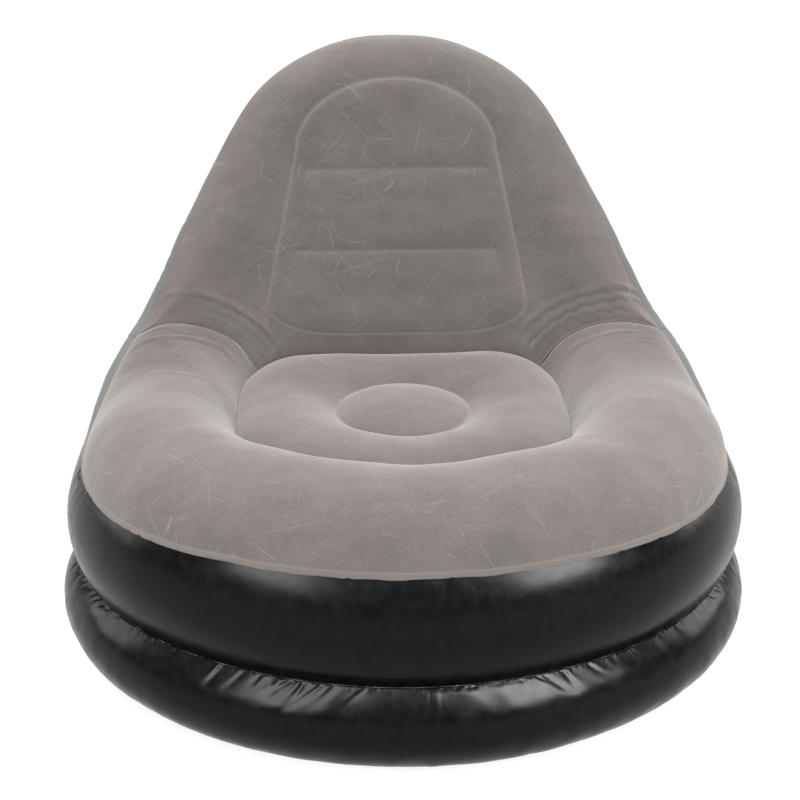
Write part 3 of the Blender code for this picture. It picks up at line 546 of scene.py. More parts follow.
def back_wall_grid():
    angles = ring_angles(WALL_FINE)
    rear = np.flatnonzero(behind_crease(angles))
    hem, arriving, _, band = hem_line(angles)
    top, top_edge = wall_top(hem, arriving, band, fin_share(angles)[:, None])
    foot = belt_line(angles, top)[rear] + UP * BELT_GAP
    level = outwards(oval(angles, WAIST_SIZES, WAIST_POWERS, BELT_HEIGHT))[rear]
    wall = arcs(foot, top[rear], level, BACK_BULGE_SHARE, BACK_ROWS)
    s, length, t, away = measured(foot, wall, False)
    tall = t.max(1, keepdims=True)
    offset = puckers(s, t, length, BACK_FOOT_PUCKERS, EVEN_STRETCHES, 31)
    offset += puckers(s, away, length, BACK_TOP_PUCKERS, EVEN_STRETCHES, 32)
    offset += folds(s, t, length, BACK_FOOT_FOLDS, 34, closed=False)
    offset += folds(s, away, length, BACK_TOP_FOLDS, 35, closed=False)
    swell = swells(wall, 33, (0.30, 0.09), (0.0018, 0.0003))
    offset += swell * smooth_step(t, 0, 0.05) * smooth_step(away, 0, 0.05) * smooth_step(tall, 0, 0.2)
    near_valve = np.linalg.norm(wall - VALVE_PLACE, axis=-1)
    held = smooth_step(t, 0, 0.004) * smooth_step(away, 0, 0.004) * smooth_step(near_valve, 0.03, 0.09)
    wall = pushed_out(wall, False, offset * held)
    proud = (wall - VALVE_PLACE) @ VALVE_AXIS + GAP
    flat = 1 - smooth_step(near_valve, VALVE_FLAT, VALVE_FLAT_FADES)
    wall = wall - VALVE_AXIS * (proud * flat)[..., None]
    margin = foot - outwards(oval(angles, WAIST_SIZES, WAIST_POWERS, UPPER_WELD_HEIGHT))[rear] * MARGIN
    return np.concatenate([margin[:, None], wall, top_edge[rear][:, None]], 1)


def cut_valve_hole(piece):
    """Opens the wall for the valve's throat: a round hole, a little wider, that the flange covers."""
    maker = bmesh.new()
    maker.from_mesh(piece.data)
    place, axis = Vector(VALVE_PLACE), Vector(VALVE_AXIS)

    def off_axis(point):
        return (point - place) - axis * (point - place).dot(axis)

    near = {face for face in maker.faces if (face.calc_center_median() - place).length < VALVE_FLAT}
    inside = {face for face in near if off_axis(face.calc_center_median()).length < VALVE_HOLE_RADIUS}
    rim = {vertex for face in inside for vertex in face.verts if set(vertex.link_faces) - inside}
    for vertex in rim:
        away = off_axis(vertex.co)
        vertex.co += away.normalized() * (VALVE_HOLE_RADIUS - away.length)
    bmesh.ops.delete(maker, geom=list(inside), context="FACES")
    maker.to_mesh(piece.data)
    maker.free()


def seat_line(fine):
    """The outline of the seat pad, as a front stretch from crease to crease and a rear stretch."""
    angles = np.linspace(SEAT_CORNER - pi, SEAT_CORNER + pi, FINE_STEPS * 8 + 1)
    rear = np.sin(angles) > 0
    power = 2 / np.where(rear, SEAT_REAR_POWER, SEAT_FRONT_POWER)
    depth = np.where(rear, SEAT_REAR, SEAT_FRONT)
    side = SEAT_HALF_WIDTH * np.sign(np.cos(angles)) * np.abs(np.cos(angles)) ** power
    behind = depth * np.sign(np.sin(angles)) * np.abs(np.sin(angles)) ** power
    y = WIDEST_Y + SEAT_BEHIND_WIDEST + behind
    line = np.stack([side, y, np.full(len(angles), SEAT_WELD_HEIGHT)], -1)
    front = line[(angles >= -pi / 2) & (angles <= SEAT_CORNER)]
    back = line[(angles >= SEAT_CORNER) & (angles <= pi - SEAT_CORNER)]
    half_cells = HALF_CELLS * fine
    even = np.arange(half_cells + 1) / half_cells
    right = resampled(front, blend(even, even**6, SEAT_CROWDING_SHARE))
    left = (right * (-1, 1, 1))[::-1]
    return np.concatenate([left[:-1], right]), resampled(back, np.linspace(0, 1, SEAT_REAR_CELLS * fine + 1))


def seat_loop(fine):
    front, rear = seat_line(fine)
    loop = np.concatenate([front, rear[1:-1]])
    return loop, np.cross(tangents(loop, closed=True), UP), len(front)


def round_out(distance, reach):
    """A round swelling, as a share, from a weld out to its full height."""
    near = 1 - np.clip(distance / reach, 0, 1)
    return np.sqrt(1 - near**2)


def crease_pull(distance, lip):
    """How far a sheet has dipped into the crease, as a share: a round lip on each side of it."""
    return 1 - round_out(distance, lip)


def crease_share(share):
    """How deep the crease is, by the share of the way along it from the hem to the seat."""
    return smooth_step(share, 0, 0.22) * (1 - smooth_step(share, 0.88, 1))


def ridges(distance, share, rows):
    """Soft folds that run beside a crease, each a ridge with a sharper valley on the crease's side of it.

    Each is (distance, from share, to share, height, width).
    """
    offsets = np.zeros(np.broadcast(distance, share).shape)
    for place, start, end, height, width in rows:
        run = smooth_step(share, start, start + 0.15) * (1 - smooth_step(share, end - 0.15, end))
        bent = place * (1 + 0.05 * np.sin(share * 7 + place * 400))
        offsets += height * run * np.exp(-((distance - bent) / width) ** 2)
        offsets -= 0.7 * height * run * np.exp(-((distance - bent + 1.1 * width) / (0.5 * width)) ** 2)
    return offsets


def roll_base(fine):
    """The front roll and the arms before any folds: the lap, the roll and the tuck into the seat's weld."""
    angles = ring_angles(fine)
    hem, arriving, normal, band = hem_line(angles)
    index = np.arange(-HALF_CELLS * fine, HALF_CELLS * fine + 1) % (RING_CELLS * fine)
    proud = hem[index] + normal[index] * FLOCK_PROUD
    loop, away, front_count = seat_loop(fine)
    inner = loop[:front_count] + away[:front_count] * (BEAM_FILM / 2 + GAP)
    shares = smooth_through(swing(angles[index]), ROLL_STATIONS, ROLL_BULGE_SHARES)
    fullness = blend(1.0, ARM_FULLNESS, smooth_step(swing(angles[index]), radians(-35), CREASE))
    rolls = arcs(proud, inner, UP, shares[:, None], ROLL_CELLS * fine, fullness[:, None])
    return proud, band[index], normal[index], band_width(angles[index]), inner, rolls


def lap_rows(proud, band, normal, width, seed, rows=4):
    """The pressed band below a hem, whose cut edge waves a little, and the film's own edge under it."""
    s, length = run_along(proud)
    random = np.random.default_rng(seed)
    wave = np.zeros(len(s))
    for size, height in CUT_WAVES:
        for _ in range(3):
            pitch = size * random.uniform(0.7, 1.4)
            wave += height / 1.7 * np.sin(s / pitch * FULL_TURN + random.uniform(0, FULL_TURN))
    widths = width + wave
    for place in random.uniform(0, length, NICKS):
        widths -= NICK_DEPTH * np.exp(-((s - place) / NICK_WIDTH) ** 2)
    lift = 0.0003 + 0.0003 * np.sin(s / 0.03) ** 2
    laps = [proud + band * (widths * share)[:, None] + normal * (lift * share)[:, None]
            for share in np.linspace(1, 0, rows + 1)[:-1]]
    under = laps[0] - normal * (FLOCK_FILM + lift)[:, None]
    return [under] + laps


def roll_grid(fine):
    proud, band, normal, width, inner, rolls = roll_base(fine)
    s, length, t, away = measured(proud, rolls, False)
    across_share = t / t.max(1, keepdims=True)
    order = run_across(rolls.transpose(1, 0, 2)).T
    to_crease = np.minimum(order, order.max(0) - order)
    on_right = order > order.max(0) / 2
    offset = puckers(s, t, length, HEM_PUCKERS, EVEN_STRETCHES, 41)
    offset += puckers(s, away, length, SEAT_PUCKERS, EVEN_STRETCHES, 42)
    offset += swells(rolls, 43, (0.30, 0.10, 0.045), (0.0016, 0.0007, 0.0002)) * smooth_step(t, 0, 0.04)
    offset += np.where(on_right, ridges(to_crease, across_share, ARM_RIDGES_RIGHT),
                       ridges(to_crease, across_share, ARM_RIDGES_LEFT))
    held = smooth_step(t, 0, 0.004) * smooth_step(away, 0, 0.006)
    grid = pushed_out(rolls, False, offset * held)
    lift = round_out(to_crease, CREASE_LIP) * np.exp(-((to_crease / CREASE_RISE_REACH) ** 2))
    lift *= smooth_step(across_share, 0, 0.25) * (1 - smooth_step(across_share, 0.7, 1))
    grid = grid + UP * (np.where(on_right, *CREASE_RISES) * lift)[..., None]
    pull = np.where(on_right[..., None], *CREASE_PULLS)
    grid = grid + pull * (crease_pull(to_crease, CREASE_LIP) * crease_share(across_share))[..., None]
    lap = np.stack(lap_rows(proud, band, normal, width, 44), 1)
    tuck = (inner - UP * MARGIN)[:, None]
    return np.concatenate([lap, grid, tuck], 1), to_crease


def seat_pad_grid(fine):
    """The pad, from its weld over the crown to the round centre, and each point's distance from a weld."""
    loop, outwards_there, _ = seat_loop(fine)
    edge = loop - outwards_there * (BEAM_FILM / 2 + GAP)
    middle = np.array([0, WIDEST_Y + SEAT_BEHIND_WIDEST, CENTRE_WELD_HEIGHT])
    circle = middle + unit((loop - middle) * (1, 1, 0)) * CENTRE_RADIUS * (1, CENTRE_DEEPER, 1)
    crown = arcs(edge, circle, UP, SEAT_BULGE_SHARE, PAD_CELLS * fine)
    s, length, t, away = measured(edge, crown, True)
    offset = puckers(s, t, length, SEAT_PUCKERS, EVEN_STRETCHES, 51)
    offset += puckers(s, away, length, SEAT_PUCKERS, EVEN_STRETCHES, 52)
    offset += swells(crown, 53, (0.16, 0.06), (0.0012, 0.0004)) * smooth_step(t, 0, 0.03)
    held = smooth_step(t, 0, 0.004) * smooth_step(away, 0, 0.006)
    crown = pushed_out(crown, True, offset * held)
    shares = np.linspace(1, 0, CENTRE_CELLS * fine + 1)[1:-1]
    dome = np.stack([middle + (circle - middle) * share + UP * CENTRE_CROWN * (1 - share**2) ** 0.8
                     for share in shares], 1)
    dome = dome + UP * (swells(dome, 54, (0.07,), (0.0006,)) * (1 - shares**2))[..., None]
    pole = np.broadcast_to(dome[:, -1].mean(0), (len(s), 1, 3))
    from_ring = (1 - np.append(shares, 0))[None] * CENTRE_RADIUS + np.zeros((len(s), 1))
    weld = np.concatenate([np.zeros((len(s), 1)), np.minimum(t, away), from_ring], 1)
    return np.concatenate([(edge - UP * MARGIN)[:, None], crown, dome, pole], 1), weld


def panel_point(side, height):
    slope = height * np.array([0, sin(PANEL_TILT), cos(PANEL_TILT)])
    return slope + (side, WIDEST_Y + PANEL_FOOT_BEHIND, PANEL_FOOT_HEIGHT)


def panel_half_outline():
    quarter = np.linspace(0, pi / 2, FINE_STEPS // 4)
    corner_middle = PANEL_FOOT_HALF_WIDTH - PANEL_CORNER_WIDTH
    foot = np.stack([corner_middle + PANEL_CORNER_WIDTH * np.sin(quarter),
                     PANEL_CORNER_HEIGHT * (1 - np.cos(quarter))], -1)
    top = np.stack([PANEL_SHOULDER_HALF_WIDTH * np.cos(quarter),
                    blend(PANEL_SHOULDER, PANEL_LENGTH, np.sin(quarter))], -1)
    return np.concatenate([[(0, 0)], foot, top])


def panel_ring_flat(fine):
    """The panel's outline in its own plane, anticlockwise from its left foot corner."""
    outline = panel_half_outline()
    corner = 1 + int(FINE_STEPS // 8)
    shoulder = len(outline) - int(FINE_STEPS // 6)
    foot = resampled(outline[: corner + 1], np.linspace(0, 1, SEAT_REAR_CELLS * fine // 2 + 1))
    side = resampled(outline[corner: shoulder + 1], np.linspace(0, 1, PANEL_CELLS * fine + 1))
    top = resampled(outline[shoulder:], np.linspace(0, 1, SEAT_REAR_CELLS * fine // 2 + 1))
    right = np.concatenate([foot, side[1:], top[1:]])
    left = (right * (-1, 1))[::-1][1:-1]
    return np.roll(np.concatenate([right, left]), SEAT_REAR_CELLS * fine // 2, axis=0)


def border_ring(fine, roll_ends):
    """The outer edge of the backrest's sheet, the film under it, and what each point of it is welded to."""
    angles = ring_angles(fine)
    hem, arriving, normal, band = hem_line(angles)
    rear = np.arange(HALF_CELLS * fine, (RING_CELLS - HALF_CELLS) * fine + 1)
    hem_edge = hem[rear] + normal[rear] * FLOCK_PROUD
    loop, away, front_count = seat_loop(fine)
    seat = np.concatenate([loop[front_count - 1:], loop[:1]])
    seat_away = np.concatenate([away[front_count - 1:], away[:1]])
    foot = (seat + seat_away * (BEAM_FILM / 2 + GAP))[::-1]
    right_crease, left_crease = roll_ends[1][::-1], roll_ends[0]
    edge = np.concatenate([foot, right_crease[1:-1], hem_edge, left_crease[1:-1]])
    return edge, rear, band[rear], normal[rear], len(foot), len(right_crease) - 2


def segment_distance(points, start, end):
    start, end = np.asarray(start, float), np.asarray(end, float)
    share = np.clip(((points - start) @ (end - start)) / ((end - start) @ (end - start)), 0, 1)
    return np.linalg.norm(points - (start + share[..., None] * (end - start)), axis=-1)


def eased(border, corners):
    """The border with the corners of its outer edge rounded off inside it, more with the distance from it."""
    count = len(border)
    t = run_across(border)
    away = run_back(border)
    steps = np.arange(count)
    near = np.min([np.abs((steps - corner + count / 2) % count - count / 2) for corner in corners], axis=0)
    spots = 1 - smooth_step(near, CORNER_EASE * 0.5, CORNER_EASE)
    waves = np.fft.rfft(border, axis=0)
    turns = np.arange(len(waves))[:, None] / count * FULL_TURN
    step = run_along(border[:, 0], closed=True)[1] / count
    rows = []
    for j in range(border.shape[1]):
        spread = min(0.8 * t[:, j].mean(), 0.9 * away[:, j].mean(), WIDEST_EASE) / step
        rows.append(np.fft.irfft(waves[:, j] * np.exp(-((turns * spread) ** 2) / 2), n=count, axis=0))
    smooth = np.stack(rows, 1)
    return border + (smooth - border) * spots[:, None, None]


def bare_border(fine):
    """The backrest's blown border before its folds, its outer edge, and the parts of that edge: the hem's, with
    what hangs on it there, and the right and the left crease's."""
    rolls = roll_base(fine)[-1]
    edge, rear, band, normal, foot_count, crease_count = border_ring(fine, (rolls[0], rolls[-1]))
    ring = np.array([panel_point(*place) for place in panel_ring_flat(fine)])
    hem_part = slice(foot_count + crease_count, foot_count + crease_count + len(rear))
    right = slice(foot_count - 1, foot_count + crease_count + 1)
    left = slice(len(edge) - crease_count - 1, len(edge) + 1)
    lean = swing(ring_angles(fine)[rear])
    bulge = np.full(len(edge), BORDER_CREASE_BULGE_SHARE)
    bulge[:foot_count] = BORDER_FOOT_BULGE_SHARE
    bulge[hem_part] = blend(blend(BORDER_CREASE_BULGE_SHARE, BORDER_SIDE_BULGE_SHARE,
                                  smooth_step(lean, CREASE, radians(42))),
                            BORDER_TOP_BULGE_SHARE, smooth_step(lean, radians(45), radians(75)))
    fullness = np.ones(len(edge))
    fullness[hem_part] = blend(1.0, BORDER_FULLNESS, smooth_step(lean, radians(35), radians(75)))
    spread = np.hanning(4 * fine + 1)
    around = np.concatenate([bulge[-2 * fine:], bulge, bulge[: 2 * fine]])
    bulge = np.convolve(around, spread / spread.sum(), mode="valid")[:, None]
    border = arcs(edge, ring, PANEL_FACING, bulge, BORDER_CELLS * fine, fullness[:, None], BORDER_LANDING)
    border = eased(border, [foot_count, hem_part.start, hem_part.stop, len(edge)])
    return border, edge, (hem_part, rear, band, normal), right, left


def border_ridges(border, creases, fine):
    """How far the folds that run out of the creases lift each point, by the nearer crease."""
    distances, lifts = [], []
    for line, rows in zip(creases, (BORDER_RIDGES_RIGHT, BORDER_RIDGES_LEFT)):
        stations = line[:: fine // 2]
        gaps = np.linalg.norm(border[:, :, None] - stations, axis=-1)
        distances.append(gaps.min(-1))
        lifts.append(ridges(distances[-1], gaps.argmin(-1) / (len(stations) - 1), rows))
    return np.where(distances[1] < distances[0], lifts[1], lifts[0])


def back_border_grid(fine):
    """The backrest's border behind the pressed band of its outer edge, and how far its points are from the weld
    of the panel."""
    border, edge, (hem_part, rear, band, normal), right, left = bare_border(fine)
    s, length, t, away = measured(edge, border, True)
    creases = edge[right][::-1], np.concatenate([edge[left], edge[:1]])
    offset = puckers(s, t, length, HEM_PUCKERS, EVEN_STRETCHES, 61)
    offset += puckers(s, away, length, SEAT_PUCKERS, EVEN_STRETCHES, 62)
    offset += (swells(border, 63, (0.28, 0.09), (0.0016, 0.0006)) * smooth_step(t, 0, 0.04)
               * smooth_step(away, 0, 0.03))
    offset += border_ridges(border, creases, fine)
    held = smooth_step(t, 0, 0.004) * smooth_step(away, 0, 0.004)
    border = pushed_out(border, True, offset * held)
    creased = np.zeros((len(edge) + 1, 3))
    for line, along, pull in zip(creases, (creased[right][::-1], creased[left]), CREASE_PULLS):
        reach, whole = run_along(line)
        along[:] = crease_share(reach / whole)[:, None] * pull
    border = border + crease_pull(t, BORDER_LIP)[..., None] * creased[:-1, None]

    lap = lap_rows(edge, np.zeros_like(edge) - UP, PANEL_FACING + np.zeros_like(edge), MARGIN, 64)
    hem_lap = lap_rows(edge[hem_part], band, normal, band_width(ring_angles(fine)[rear]), 64)
    for plain, pressed in zip(lap, hem_lap):
        plain[hem_part] = pressed
    pressed = np.full((len(edge), len(lap)), -MARGIN)
    pressed[hem_part] -= FIN_WIDTH * fin_share(ring_angles(fine)[rear])[:, None]
    return (np.concatenate([np.stack(lap, 1), border], 1),
            np.concatenate([pressed, np.minimum(away, 1.0)], 1))


def back_panel_grid(fine):
    """The backrest's panel, blown between its outline and its two channels, and how far its points are from
    these welds."""
    flat = panel_ring_flat(fine)
    columns, panel_rows = SEAT_REAR_CELLS * fine, PANEL_CELLS * fine
    shares = np.linspace(0, 1, columns + 1)[:, None]
    low, right_side = flat[: columns + 1], flat[columns: columns + panel_rows + 1]
    top = flat[columns + panel_rows: 2 * columns + panel_rows + 1][::-1]
    left_side = np.concatenate([flat[2 * columns + panel_rows:], flat[:1]])[::-1]
    rows = []
    for j in range(panel_rows + 1):
        up = j / panel_rows
        row = blend(left_side[j], right_side[j], shares)
        row = row + (low - blend(low[0], low[-1], shares)) * (1 - up) ** 3
        rows.append(row + (top - blend(top[0], top[-1], shares)) * up**3)
    inner = np.stack(rows, 1)
    corners = flat[:: fine // 2]
    outline = np.min([segment_distance(inner, start, end)
                      for start, end in zip(corners, np.roll(corners, -1, 0))], axis=0)
    channels = np.min([segment_distance(inner, (-half, height), (half, height)) for height, half in CHANNELS],
                      axis=0)
    swell = PANEL_BULGE * round_out(np.maximum(outline - OUTLINE_PRESSED, 0), OUTLINE_REACH)
    swell *= blend(CHANNEL_FLOOR_SHARE, 1, round_out(np.maximum(channels - CHANNEL_PRESSED, 0), CHANNEL_REACH))
    points = np.array([[panel_point(*place) for place in column] for column in inner])
    rough = swells(points, 65, (0.13, 0.05), (0.0012, 0.0005)) * smooth_step(outline, 0, 0.03)
    rough *= smooth_step(channels, 0, 0.02)
    return points + PANEL_FACING * (swell + rough)[..., None], np.minimum(outline, channels)


def base_sheet_grid():
    """The floor sheet, from its middle out to the floor weld, lifted a little along its two welds."""
    angles = ring_angles(BASE_FINE)
    edge = oval(angles, FLOOR_SIZES, WAIST_POWERS, 0)
    middle = np.array([0, WIDEST_Y, 0])
    shares = np.concatenate([[0, 0.02], np.linspace(0.08, 0.55, 16), np.linspace(0.56, 1, 45)])
    grid = np.stack([middle + (edge - middle) * share for share in shares], 1)
    s, length, _, away = measured(edge, grid, True)
    ring = np.abs((shares - BASE_BEAM_SHARE)[None] * np.linalg.norm(edge - middle, axis=1)[:, None])
    lift = puckers(s, away, length, BASE_PUCKERS, EVEN_STRETCHES, 71)
    lift += puckers(s, ring, length, BASE_PUCKERS, EVEN_STRETCHES, 72)
    lift = np.abs(lift) + BASE_BEAM_LIFT * np.exp(-((ring / BASE_BEAM_REACH) ** 2))
    lift += BASE_EDGE_LIFT * smooth_step(-away, -0.02, 0)
    return grid + UP * (lift * smooth_step(away, 0, 0.004))[..., None], np.minimum(away, ring)


def grid_faces(columns, rows, closed, first=0):
    """Corner indices of a grid's square faces, which face out of the chair."""
    i = np.arange(columns if closed else columns - 1)[:, None]
    j = np.arange(rows - 1)[None]
    here, there = first + i * rows + j, first + (i + 1) % columns * rows + j
    return np.stack([here, there, there + 1, here + 1], -1).reshape(-1, 4)


def grid_places(grid, closed):
    """Where each corner of each face lies on the film: metres along it and metres across it."""
    ends = np.concatenate([grid, grid[:1]]) if closed else grid
    along = np.linalg.norm(np.diff(ends, axis=0), axis=-1).mean(1)
    s = np.concatenate([[0], np.cumsum(along)])
    t = run_across(grid).mean(0)
    i = np.arange(len(s) - 1)[:, None] + np.zeros(len(t) - 1, int)
    j = np.zeros(len(s) - 1, int)[:, None] + np.arange(len(t) - 1)
    corners = [(s[i], t[j]), (s[i + 1], t[j]), (s[i + 1], t[j + 1]), (s[i], t[j + 1])]
    return np.stack([np.stack(pair, -1) for pair in corners], 2).reshape(-1, 2)


def film_piece(name, parts, finish, node):
    """One film made of grids, each with its points' distances from a weld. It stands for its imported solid."""
    points, faces, places, welds = [], [], [], []
    count = 0
    for grid, closed, weld in parts:
        columns, rows = grid.shape[:2]
        faces.append(grid_faces(columns, rows, closed, count))
        places.append(grid_places(grid, closed))
        points.append(grid.reshape(-1, 3))
        welds.append(np.broadcast_to(weld, (columns, rows)).ravel())
        count += columns * rows
    mesh = bpy.data.meshes.new(name)
    mesh.from_pydata(np.concatenate(points), [], np.concatenate(faces))
    layer = mesh.uv_layers.new(name="film")
    layer.data.foreach_set("uv", np.concatenate(places).astype(np.float32).ravel())
    distance = mesh.attributes.new("weld_distance", "FLOAT", "POINT")
    distance.data.foreach_set("value", np.concatenate(welds).astype(np.float32))
    maker = bmesh.new()
    maker.from_mesh(mesh)
    bmesh.ops.remove_doubles(maker, verts=maker.verts, dist=GAP / 30)
    maker.to_mesh(mesh)
    maker.free()
    mesh.shade_smooth()
    mesh.materials.append(finish)
    piece = bpy.data.objects.new(name, mesh)
    bpy.context.scene.collection.objects.link(piece)
    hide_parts(node)
    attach(piece, "envelope")
    return piece


def linear(code):
    """A hex colour as the shader reads it."""
    values = np.array([int(code[k: k + 2], 16) / 255 for k in (1, 3, 5)])
    curve = np.where(values <= 0.04045, values / 12.92, ((values + 0.055) / 1.055) ** 2.4)
    return (*curve.tolist(), 1.0)


def per_metre(millimetres):
    """The scale of a pattern whose marks stand so far apart, on coordinates in metres."""
    return 1000 / millimetres


def add(finish, kind, settings=None, stops=(), **inputs):
    """Adds a node with its settings. An input is a value, a hex colour, a node or one of a node's outputs.

    An input is named by its label, or by an underscore and its place in the node. The stops of a colour ramp
    are pairs of a place and a level or a hex colour.
    """
    node = finish.node_tree.nodes.new("ShaderNode" + kind)
    for key, value in (settings or {}).items():
        setattr(node, key, value)
    for k, (place, level) in enumerate(stops):
        stop = node.color_ramp.elements[k]
        stop.position = place
        stop.color = linear(level) if isinstance(level, str) else (level, level, level, 1)
    for key, value in inputs.items():
        socket = node.inputs[int(key[1:])] if key[1:].isdigit() else next(
            one for one in node.inputs if one.enabled and one.name == key.replace("_", " "))
        if isinstance(value, bpy.types.Node):
            value = next(one for one in value.outputs if one.enabled)
        if isinstance(value, bpy.types.NodeSocket):
            finish.node_tree.links.new(value, socket)
        else:
            socket.default_value = linear(value) if isinstance(value, str) else value
    return node


def new_finish(name, slot=""):
    """An empty material. Its slot is the one in the record that its pieces name."""
    finish = bpy.data.materials.new(name)
    finish.use_nodes = True
    finish.node_tree.nodes.clear()
    finish["slot"] = slot
    return finish


def flocked_vinyl():
    """Short rayon pile on vinyl film: matt, with a soft sheen at glancing angles, cloudy and streaked where it
    is brushed, scratched pale where backs rub it, and pressed flat and paler at its welds."""
    finish = new_finish("flocked_vinyl", "taupe_flock")
    place = add(finish, "TexCoord").outputs["Object"]
    clouds = add(finish, "TexNoise", Vector=place, Scale=per_metre(90.91), Detail=3.0, Roughness=0.55)
    brushed = add(finish, "TexNoise", Vector=place, Scale=per_metre(26.32), Detail=2.0, Roughness=0.6)
    stroked = add(finish, "Mapping", Vector=place, Rotation=(0.5, 0.3, 0.9),
                  Scale=(per_metre(111.1), per_metre(18.18), per_metre(33.33)))
    stroked = add(finish, "TexNoise", Vector=stroked, Scale=1.0, Detail=3.0, Roughness=0.6)
    # The fibres stand about 0.3 mm apart, too fine to show, so they are drawn 1.6 mm apart
    pile = add(finish, "TexNoise", Vector=place, Scale=per_metre(1.613), Detail=2.0, Roughness=0.7)
    tone = add(finish, "ValToRGB", stops=((0.30, "#706965"), (0.70, "#7A7370")), Fac=clouds)
    for pattern, stops in ((brushed, ((0.30, 0.965), (0.72, 1.035))), (stroked, ((0.35, 0.95), (0.70, 1.06))),
                           (pile, ((0.32, 0.80), (0.68, 1.18)))):
        level = add(finish, "ValToRGB", stops=stops, Fac=pattern)
        tone = add(finish, "Mix", {"data_type": "RGBA", "blend_type": "MULTIPLY"}, Factor=1.0, A=tone, B=level)

    # Scratches: through each cell's own point runs a plane of its own heading, which marks a line on the pile
    wander = add(finish, "TexNoise", Vector=place, Scale=per_metre(45.45), Detail=2.0).outputs["Color"]
    bent = add(finish, "VectorMath", {"operation": "MULTIPLY_ADD"}, _0=wander, _1=(SCRATCH_WANDER,) * 3,
               _2=place)
    clusters = add(finish, "TexNoise", Vector=place, Scale=per_metre(200), Detail=3.0)
    from_back = add(finish, "VectorMath", {"operation": "DISTANCE"}, _0=place, _1=RUBBED_PLACE)
    rubbed = add(finish, "MapRange", Value=from_back, From_Min=0.19, From_Max=0.05, To_Max=0.55)
    rubbed = add(finish, "Math", {"operation": "MULTIPLY_ADD"}, _0=clusters, _1=2.2, _2=rubbed)
    scratches = 0.0
    for apart, half_width in ((111.1, 0.0012), (71.43, 0.0010), (41.67, 0.0009), (23.26, 0.0009)):
        spot = add(finish, "TexVoronoi", Vector=bent, Scale=per_metre(apart)).outputs
        beside = add(finish, "VectorMath", {"operation": "SUBTRACT"}, _0=bent, _1=spot["Position"])
        heading = add(finish, "VectorMath", {"operation": "SUBTRACT"}, _0=spot["Color"], _1=(0.5, 0.5, 0.5))
        heading = add(finish, "VectorMath", {"operation": "NORMALIZE"}, _0=heading)
        side = add(finish, "VectorMath", {"operation": "DOT_PRODUCT"}, _0=beside, _1=heading)
        side = add(finish, "Math", {"operation": "ABSOLUTE"}, _0=side)
        stroke = add(finish, "MapRange", Value=side, From_Min=half_width, From_Max=0.0)
        near = add(finish, "MapRange", Value=spot["Distance"], From_Min=0.62, From_Max=0.35)
        stroke = add(finish, "Math", {"operation": "MULTIPLY"}, _0=stroke, _1=near)
        chance = add(finish, "SeparateXYZ", Vector=spot["Color"]).outputs["Y"]
        chance = add(finish, "Math", {"operation": "ADD"}, _0=chance, _1=rubbed)
        luck = add(finish, "MapRange", Value=chance, From_Min=1.5, From_Max=2.2)
        scratches = add(finish, "Math", {"operation": "MULTIPLY_ADD", "use_clamp": True}, _0=stroke, _1=luck,
                        _2=scratches)
    scratches = add(finish, "Math", {"operation": "MULTIPLY"}, _0=scratches, _1=0.32)
    tone = add(finish, "Mix", {"data_type": "RGBA"}, Factor=scratches, A=tone, B="#ADA6A1")

    # The welding bar's line and the band that it presses beyond the hem, in metres from the weld
    weld = add(finish, "Attribute", {"attribute_name": "weld_distance"}).outputs["Fac"]
    pressed = add(finish, "ValToRGB", stops=((0.0016, 0.75), (0.0034, 0)), Fac=weld)
    tone = add(finish, "Mix", {"data_type": "RGBA"}, Factor=pressed, A=tone, B="#8C8680")
    fin = add(finish, "MapRange", Value=weld, From_Min=-0.010, From_Max=-0.018)
    flat = add(finish, "ValToRGB", stops=((0.0, "#78716D"), (1.0, "#7A7C7C")), Fac=fin)
    band = add(finish, "Math", {"operation": "LESS_THAN"}, _0=weld, _1=-0.002)
    tone = add(finish, "Mix", {"data_type": "RGBA"}, Factor=band, A=tone, B=flat)

    height = add(finish, "Math", {"operation": "MULTIPLY_ADD"}, _0=brushed, _1=0.6, _2=pile)
    bump = add(finish, "Bump", Height=height, Strength=0.25, Distance=0.0008)
    shader = add(finish, "BsdfPrincipled", Base_Color=tone, Normal=bump, Roughness=0.95, Diffuse_Roughness=1.0,
                 Specular_IOR_Level=0.12, Sheen_Weight=0.45, Sheen_Roughness=0.45, Sheen_Tint="#F0ECE8")
    add(finish, "OutputMaterial", Surface=shader)
    return finish


